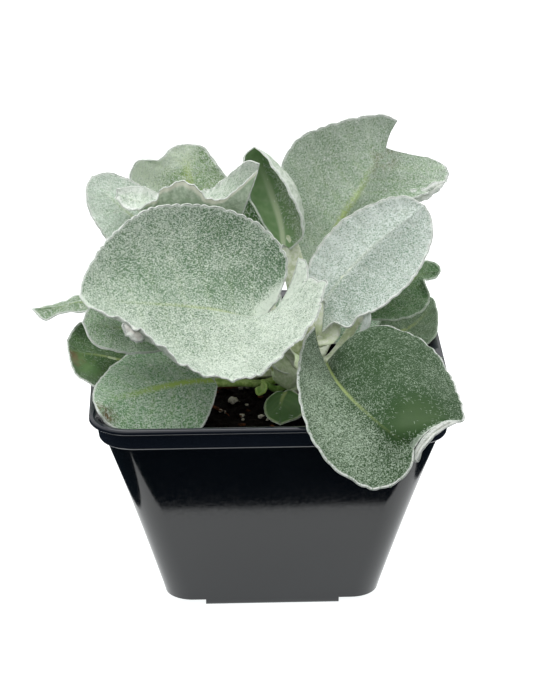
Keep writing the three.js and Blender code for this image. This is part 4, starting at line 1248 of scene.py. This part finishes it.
leafTopWavy = dict(
    name="leafTopWavy", node="leaf_top_wavy",
    root=(152, 76.5), stalkWidth=(1.6, 1.8, 1.8),
    stalk=[(-0.5, 9, 89)],
    rib=[(-9.5, 12, 114), (-18.5, 14, 116.5), (-28, 16, 117.5), (-37.5, 17, 119.5), (-48, 17, 123)],
    left=[(-3, 6, 134.5), (-7.5, 5.5, 130.5), (-12.5, 5, 126.5), (-17.5, 5, 125), (-22, 5, 128.5),
        (-25.5, 6, 131), (-29.5, 7, 130), (-34, 8, 127.5), (-36, 9, 124), (-44, 13, 119.5),
        (-48.5, 16, 122.5)],
    right=[(-2.5, 12, 134.5), (-6.5, 14, 134.5), (-13, 19, 127.5), (-19.5, 22, 122),
        (-30.5, 23, 120), (-41, 21, 124), (-48, 18, 124.5)],
    belly=[0.12, 0.2, 0.16], teeth=17, toothDepth=0.5,
    rows=120, half=26, seed=5, veins=5,
    ruffle=0.6,
    look=dict(felt="e6eee4", shade="a9c0a7", cover=0.72, rimWidth=2.2),
    under=dict(felt="cfdec8", shade="a6bc9f", rim="f3f4e2", rimWidth=1.7),
)
makeLeaf(leafTopWavy)

leafBackLeft = dict(
    name="leafBackLeft", node="leaf_back_left",
    root=(108, 71.5), stalkWidth=(1.6, 1.7, 1.7),
    stalk=[(-8.5, 26, 85.5)],
    rib=[(-21.5, 36, 105), (-23.5, 40, 111), (-25, 44, 118), (-25.5, 48, 124), (-25, 51, 128.4)],
    left=[(-26.5, 36, 105), (-32.5, 35, 107.5), (-39.5, 36, 112.5), (-44, 38, 120.5),
        (-41.5, 41, 126), (-34.5, 45, 125), (-30, 49, 128), (-25, 51, 128.4)],
    right=[(-16, 36, 105.5), (-9.5, 38, 109), (-8, 40, 115), (-13, 44, 119.5), (-17.5, 48, 125),
        (-20.5, 50, 127.8), (-25, 51, 128.4)],
    belly=[0.12, 0.14, 0.1], teeth=9, toothDepth=0.3,
    rows=90, half=24, seed=6, veins=5,
    pale=[(0.6, -0.9, 12, 9, 0.9)],
    look=dict(felt="cbd8c4", shade="7c9a6c", cover=0.47, soft=0.09, ribShow=0.9, ribTint="a9bd62",
        ribWidth=2.4),
)
makeLeaf(leafBackLeft)

leafFarLeft = dict(
    name="leafFarLeft", node="leaf_far_left",
    root=(142, 71.5), stalkWidth=(1.6, 1.7, 1.7),
    stalk=[(-12, 8, 86)],
    rib=[(-25, 13, 100), (-34.5, 17, 107), (-42.5, 21, 113.5), (-50, 25, 119), (-56.5, 28, 125.5)],
    left=[(-28.5, 11, 98.5), (-35.5, 8, 99), (-44.5, 8, 103), (-51.5, 12, 110), (-57, 18, 117.5),
        (-58, 23, 123), (-56.5, 28, 125.5)],
    right=[(-23, 16, 103), (-25, 20, 107.5), (-29.5, 27, 112.5), (-35, 31, 117), (-41.5, 32, 121),
        (-50.5, 31, 125.5), (-56.5, 28, 125.5)],
    belly=[0.08, 0.1, 0.08], teeth=11, toothDepth=0.3,
    rows=96, half=26, seed=7, veins=6,
    look=dict(felt="dfe9e0", shade="a2bba3", cover=0.68, soft=0.07),
)
makeLeaf(leafFarLeft)

leafEdgeOnLeft = dict(
    name="leafEdgeOnLeft", node="leaf_edge_on_left",
    root=(175, 71), stalkWidth=(1.4, 1.5, 1.3),
    stalk=[(-12.5, -1, 75.5)],
    rib=[(-38, 3, 85.5), (-51, 4, 89.5), (-60.5, 4, 91.5), (-69, 3, 90), (-76, 2, 90)],
    left=[(-39.5, 0, 85), (-51, -2, 89), (-60.5, -3, 91), (-66.5, -2, 90), (-72, -2, 88),
        (-76, 2, 90)],
    right=[(-40, 7, 87), (-51, 9, 90.5), (-61, 10, 91), (-66.5, 8, 90), (-72, 6, 89), (-76, 2, 90)],
    belly=[0.1], teeth=7, toothDepth=0.2,
    rows=80, half=18, seed=8, veins=4,
    look=dict(felt="b3c0a9", shade="6f8b69", cover=0.5),
)
makeLeaf(leafEdgeOnLeft)

leafUnderLeft = dict(
    name="leafUnderLeft", node="leaf_under_left",
    root=(208, 71.5), stalkWidth=(1.5, 1.6, 1.5),
    stalk=[(-12.5, -14, 77)],
    rib=[(-31.5, -18, 90), (-39.5, -22, 92.5), (-46.5, -25, 94), (-53.5, -27, 96),
        (-58.5, -28, 97.5)],
    left=[(-30.5, -21, 88), (-34, -27, 87.5), (-41, -32, 88.5), (-49.5, -34, 90.5),
        (-55.5, -33, 93), (-58.5, -28, 97.5)],
    right=[(-32, -15, 92), (-38.5, -14, 95), (-48, -15, 97.5), (-56, -20, 99), (-58.5, -28, 97.5)],
    belly=[0.08], teeth=8, toothDepth=0.25,
    rows=80, half=22, seed=9, veins=5,
    look=dict(felt="e6f4e1", shade="84ac7c", cover=0.58),
)
makeLeaf(leafUnderLeft)

leafDarkLeft = dict(
    name="leafDarkLeft", node="leaf_dark_left",
    root=(180, 66.8), stalkWidth=(1.4, 1.5, 1.5),
    stalk=[(-22.5, -6, 68)],
    rib=[(-41.5, -10, 75.5), (-48, -12, 78), (-54, -13, 80), (-60, -14, 81), (-64, -15, 82.5)],
    left=[(-42, -16, 74.5), (-45, -23, 74), (-51.5, -29, 75), (-56, -32, 78), (-61.5, -27, 80.5),
        (-64, -15, 82.5)],
    right=[(-42.5, -4, 78), (-46.5, 0, 81.5), (-54, 4, 84), (-60, 3, 84.5), (-64, -6, 83),
        (-64, -15, 82.5)],
    belly=[0.08], teeth=9, toothDepth=0.5,
    rows=84, half=22, seed=10, veins=5,
    bare=[(0.72, -0.5, 6, 5, 0.8)],
    brown=[(0.9, -0.5, 5, 4, 0.8)],
    look=dict(felt="7b9672", shade="3f5f33", green="33551f", cover=0.38, down="97ab91", downShade="6b8263"),
)
makeLeaf(leafDarkLeft)

leafLowLeft = dict(
    name="leafLowLeft", node="leaf_low_left",
    root=(214, 66.8), stalkWidth=(1.5, 1.7, 1.7),
    stalk=[(-2.5, -12, 69), (-10.5, -18, 72.5)],
    rib=[(-18, -22, 74.5), (-27, -27, 76), (-35.5, -32, 76.5), (-46, -38, 76.5),
        (-55.5, -43, 77.5)],
    left=[(-17, -24, 73), (-18.5, -31, 70.5), (-22, -42, 68), (-29, -47, 65), (-41.5, -49, 66.5),
        (-49, -48.5, 70.5), (-53.5, -50, 76.5), (-55.5, -43, 77.5)],
    right=[(-19, -17, 76.5), (-24, -11, 78.5), (-32.5, -8, 80.5), (-42.5, -12, 80.5),
        (-50, -22, 79.5), (-55, -34, 78), (-55.5, -43, 77.5)],
    belly=[0.0, -0.04], teeth=12, toothDepth=0.4,
    rows=110, half=30, seed=11, veins=6,
    stalkLook=dict(felt="b3cb7c", shade="7f9f48"), brown=[(0.86, -0.75, 3.4, 2.6, 1.0)],
    look=dict(felt="c3d9c1", shade="5f8c5d", cover=0.54, ribTint="a9c566", ribShow=1.0, ribWidth=2.0),
)
makeLeaf(leafLowLeft)

leafOverRim = dict(
    name="leafOverRim", node="leaf_over_rim",
    root=(308, 71), stalkWidth=(1.9, 2.8, 2.3),
    stalk=[(15.5, -13, 74)],
    rib=[(17.5, -21, 79.5), (20, -36, 79.5), (23.5, -47, 79), (28, -57, 78), (34.5, -66, 75.5),
        (41.5, -69, 71.5)],
    left=[(23, -19, 82), (27, -18, 87.5), (35, -16, 89.5), (44, -18, 87.5), (51, -24, 84.5),
        (55.5, -34, 80), (57.5, -46, 77), (57.5, -56, 74.5), (51, -62, 76.5), (45, -67, 75.5),
        (41.5, -69, 71.5)],
    right=[(14, -20, 91), (10.5, -28, 89.5), (8, -45, 85.5), (8.5, -58, 80.5), (11, -67, 75),
        (15.5, -72, 69.5), (20.5, -75, 66), (28.5, -77, 62.5), (35, -76, 63.5), (40, -74, 67.5),
        (41.5, -69, 71.5)],
    bellyLeft=[-0.1, -0.15, -0.1], bellyRight=[0.05, 0.08], teeth=17, toothDepth=0.45,
    rows=140, half=38, seed=12, veins=0, ruffle=0.45, ribReach=0.45,
    # the thin patches leave fewer pale hairs on the half that faces away from the light: partly sparser felt,
    # partly painted shade; the first pale patch is painted light on the other half, which faces the light
    thinFeltAndShade=[(0.35, -0.55, 45, 19, 1.0), (0.7, -0.55, 30, 19, 1.0)], bare=[(0.79, -0.45, 7, 8, 0.75)],
    pale=[(0.5, 0.5, 50, 9, 0.32), (0.95, -0.95, 8, 2.5, 1)],
    look=dict(felt="acbda9", shade="2d4b27", green="29481e", bareTint="33531a", cover=0.43,
        ribTint="a9bb74", ribShow=0.75, ribWidth=0.7, down="a9bba5", downShade="7b9275"),
)
makeLeaf(leafOverRim)

# the pale underside of its margin, turned up at the tip
foldOverRim = dict(
    name="foldOverRim", node="leaf_over_rim",
    rib=[(41.9, -71.2, 68.6), (43.3, -70.2, 72), (46.8, -67.7, 75), (51.9, -62.7, 76.2), (57.2, -57, 74.9)],
    left=[(41.6, -71, 69), (42.6, -70, 72.4), (46.3, -67.5, 75.7), (51.5, -62.5, 77), (57.2, -57, 74.9)],
    right=[(42.1, -71.5, 68.3), (43.8, -70.6, 71.8), (47.2, -68, 74.7), (52.1, -63, 75.6),
        (57.2, -57, 74.9)],
    belly=[-0.2], teeth=5, toothDepth=0.2, ruffle=0.15, swell=0.5, groove=0.1,
    rows=60, half=10, seed=25, veins=0,
    look=dict(ribShow=0.0, felt="f0f3ea", shade="c3c8b8", cover=0.72, rimWidth=0.6),
    under=dict(felt="e9ede3", shade="c3c8b8"),
)
makeLeaf(foldOverRim)

leafSmallFront = dict(
    name="leafSmallFront", node="leaf_small_front",
    root=(287, 66.8), stalkWidth=(1, 1.1, 1.1),
    stalk=[(6.5, -12, 66.5)],
    rib=[(5, -16, 67.5), (3.5, -22, 67.5), (2.5, -30, 67)],
    left=[(7, -17, 68), (10.5, -21, 66.5), (9.5, -32, 66.5), (2.5, -36, 65)],
    right=[(2, -17, 67.5), (-1, -19, 66), (-2, -24, 65), (-1, -32, 65.5), (2.5, -36, 65)],
    belly=[0.0], teeth=5, toothDepth=0.15,
    rows=48, half=14, seed=13, veins=3, ruffle=0.1, swell=0.4,
    bare=[(0.5, 0, 30, 30, 0.7)], down=dict(perArea=0.35, rimPerLength=3.0),
    look=dict(felt="7fa065", shade="3f6a2a", bareTint="42692c", cover=0.2, rimWidth=0.5, rim="a9bd8f"),
)
makeLeaf(leafSmallFront)

leafBudFront = dict(
    name="leafBudFront", node="leaf_bud_front",
    root=(244, 66.6), stalkWidth=(0.9, 0.9, 0.9),
    stalk=[(2, -12.5, 67.5)],
    rib=[(-3, -16, 70.5), (-2.5, -20, 70), (-4, -23, 69.5)],
    left=[(-3, -16, 71), (-1.5, -19, 71), (-2, -23, 70.5), (-4, -23, 69.5)],
    right=[(-3, -16, 69.5), (-4.5, -20, 70.5), (-4.5, -22, 70), (-4, -23, 69.5)],
    belly=[0.0], teeth=3, toothDepth=0,
    rows=30, half=8, seed=14, veins=0, ruffle=0, swell=0.2, groove=0.1,
    bare=[(0.5, 0, 30, 30, 1.0)],
    look=dict(felt="9fc06a", shade="6a9a35", bareTint="6f9a33", green="6a9a35", cover=0.3, rimWidth=0.3,
        rim="a8c468", rimShade="8fb04f"),
    under=dict(felt="9fc06a", shade="7fa544"), stalkLook=dict(felt="9fc46a", shade="6fa038"),
    down=None,
)
makeLeaf(leafBudFront)

leafRightCurled = dict(
    name="leafRightCurled", node="leaf_right_curled",
    root=(2, 71.5), stalkWidth=(1.6, 1.7, 1.6),
    stalk=[(23.5, 6, 73.5)],
    rib=[(31, 12, 83), (39, 16, 86), (46, 20, 89), (51, 24, 91), (58, 26, 91.3)],
    left=[(32.5, 17, 88), (37, 21, 90.5), (43, 26, 92.5), (50, 29, 93.5), (55, 29, 93.5),
        (57.7, 27.5, 92.5), (58, 26, 91.3)],
    right=[(34.5, 10, 81), (38.5, 9, 81.5), (43, 9, 81.5), (50.5, 12, 83), (53.5, 16, 86),
        (52, 20, 90.5), (56.2, 24, 89.8), (58, 26, 91.3)],
    belly=[0.1], teeth=8, toothDepth=0.3,
    rows=84, half=22, seed=15, veins=5,
    look=dict(felt="8fa588", shade="486942", cover=0.45, rim="c3cfbf", rimShade="a9b8a4",
        rimWidth=0.3, down="a3b59e", downShade="6f8669"),
)
makeLeaf(leafRightCurled)

leafRightLow = dict(
    name="leafRightLow", node="leaf_right_low",
    root=(28, 67), stalkWidth=(1.5, 1.6, 1.5),
    stalk=[(27, 6, 67.5)],
    rib=[(35.5, 12, 72.5), (42.5, 15, 74), (48.5, 19, 75), (53, 24, 77), (56.5, 29, 79.5)],
    left=[(36, 16, 74.5), (39.5, 22, 77), (45, 29, 80), (52, 33, 81), (56.5, 31, 79.5)],
    right=[(37.5, 10, 71), (43, 8, 70), (49.5, 7, 72), (55, 9, 75.5), (56.5, 19, 78.5),
        (56.5, 29, 79.5)],
    belly=[0.1], teeth=7, toothDepth=0.2,
    rows=84, half=22, seed=16, veins=5,
    look=dict(felt="8fa38a", shade="566f50", cover=0.5, rim="a9b8a5", rimShade="93a48f", rimWidth=0.3,
        down="9fb09a", downShade="7f927a"),
)
makeLeaf(leafRightLow)

leafBackShaded = dict(
    name="leafBackShaded", node="leaf_back_shaded",
    root=(118, 76.5), stalkWidth=(1.4, 2.2, 2.4),
    stalk=[(-1.5, 20, 88)],
    rib=[(-5, 28, 99), (-8, 32, 106.5), (-10.5, 35, 112.5), (-12, 37, 116.5)],
    left=[(-9.5, 28, 99.5), (-14, 30, 103.5), (-17, 31, 108.5), (-16, 34, 114.5), (-12, 37, 116.5)],
    right=[(-2.3, 28.5, 101.3), (0.3, 29, 104.2), (1, 30, 107.4), (-0.9, 32, 111.2),
        (-3.8, 34, 114.8), (-12, 37, 116.5)],
    belly=[0.12], teeth=6, toothDepth=0.3,
    rows=60, half=18, seed=17, veins=4,
    look=dict(felt="8ba583", shade="4b6c43", cover=0.4),
)
makeLeaf(leafBackShaded)

leafLowBackLeft = dict(
    name="leafLowBackLeft", node="leaf_low_back_left",
    root=(128, 67), stalkWidth=(1.5, 1.7, 1.6),
    stalk=[(2, 12, 72)],
    rib=[(-4, 22, 76), (-10, 30, 79), (-17, 38, 81), (-24, 46, 81), (-31, 53, 78)],
    left=[(-8, 19.5, 76), (-14, 20, 76.5), (-21, 23, 78), (-30, 31, 80), (-36, 42, 81),
        (-36, 50, 79), (-31, 53, 78)],
    right=[(0, 24.5, 76), (4, 30, 77), (5, 37, 79), (0, 47, 80), (-10, 54, 80), (-22, 56, 79),
        (-31, 53, 78)],
    belly=[0.06, 0.08], teeth=8, toothDepth=0.4,
    rows=84, half=22, seed=18, veins=5,
    look=dict(felt="b5c8b6", shade="648765", cover=0.5),
)
makeLeaf(leafLowBackLeft)

leafLowBackRight = dict(
    name="leafLowBackRight", node="leaf_low_back_right",
    root=(62, 67), stalkWidth=(1.5, 1.7, 1.6),
    stalk=[(17, 9, 69)],
    rib=[(20, 19, 70), (23, 26, 71), (26, 33, 72), (29, 40, 72.5), (32, 46, 71.5)],
    left=[(15.5, 20, 70), (11.5, 25, 70.5), (10.5, 31, 72), (14, 38, 72.5), (21, 44, 73),
        (27, 47, 72.5), (32, 46, 71.5)],
    right=[(25, 18.5, 69.5), (31, 20.5, 69.5), (36.5, 26, 70.5), (40, 34, 71.5), (40.5, 41, 71.5),
        (37, 46, 71.5), (32, 46, 71.5)],
    belly=[0.06, 0.08], teeth=8, toothDepth=0.4,
    rows=84, half=22, seed=19, veins=5,
    look=dict(felt="b5c8b6", shade="648765", cover=0.5),
)
makeLeaf(leafLowBackRight)

print("leaves are in place")

# crown at the heart of the plant

heartSettings = dict(sides=28, rows=30, felt="d5dcc0", shade="a4b184")


def makeHeart(s):
    g = Graph("crownFelt")
    lines = g.noise(500, 3, 0.6)
    shade = g.mix(g.fit(lines, 0.35, 0.65), tint(s["shade"]), tint(s["felt"]))
    skin = g.finish(shade, 0.8, g.bump(lines, 0.0002), **{"Sheen Weight": 0.1})
    foot, top, tip = crown["foot"], crown["top"], crown["tip"]
    heights = [foot, foot + 2, top - 6, top, top + 5, tip - 2, tip]
    radii = [crown["radius"] * k for k in (0.8, 0.97, 0.97, 0.82, 0.45, 0.22, 0.05)]
    sides, rows = s["sides"], s["rows"]
    points = []
    for i in range(rows + 1):
        t = i / rows
        z = float(np.interp(t, np.linspace(0, 1, 7), heights))
        r = float(np.interp(t, np.linspace(0, 1, 7), radii))
        for k in range(sides):
            angle = 2 * math.pi * k / sides
            rib = 1 + 0.07 * math.cos(3 * angle + t * 2) + 0.03 * math.cos(9 * angle)
            points.append((crown["x"] + r * rib * math.cos(angle), crown["y"] + r * rib * math.sin(angle), z))
    heart = meshObject("crownHeart", points, tubeFaces(rows, sides), [skin])
    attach(heart, "root")
    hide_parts("crown")


makeHeart(heartSettings)
print("crown is in place")
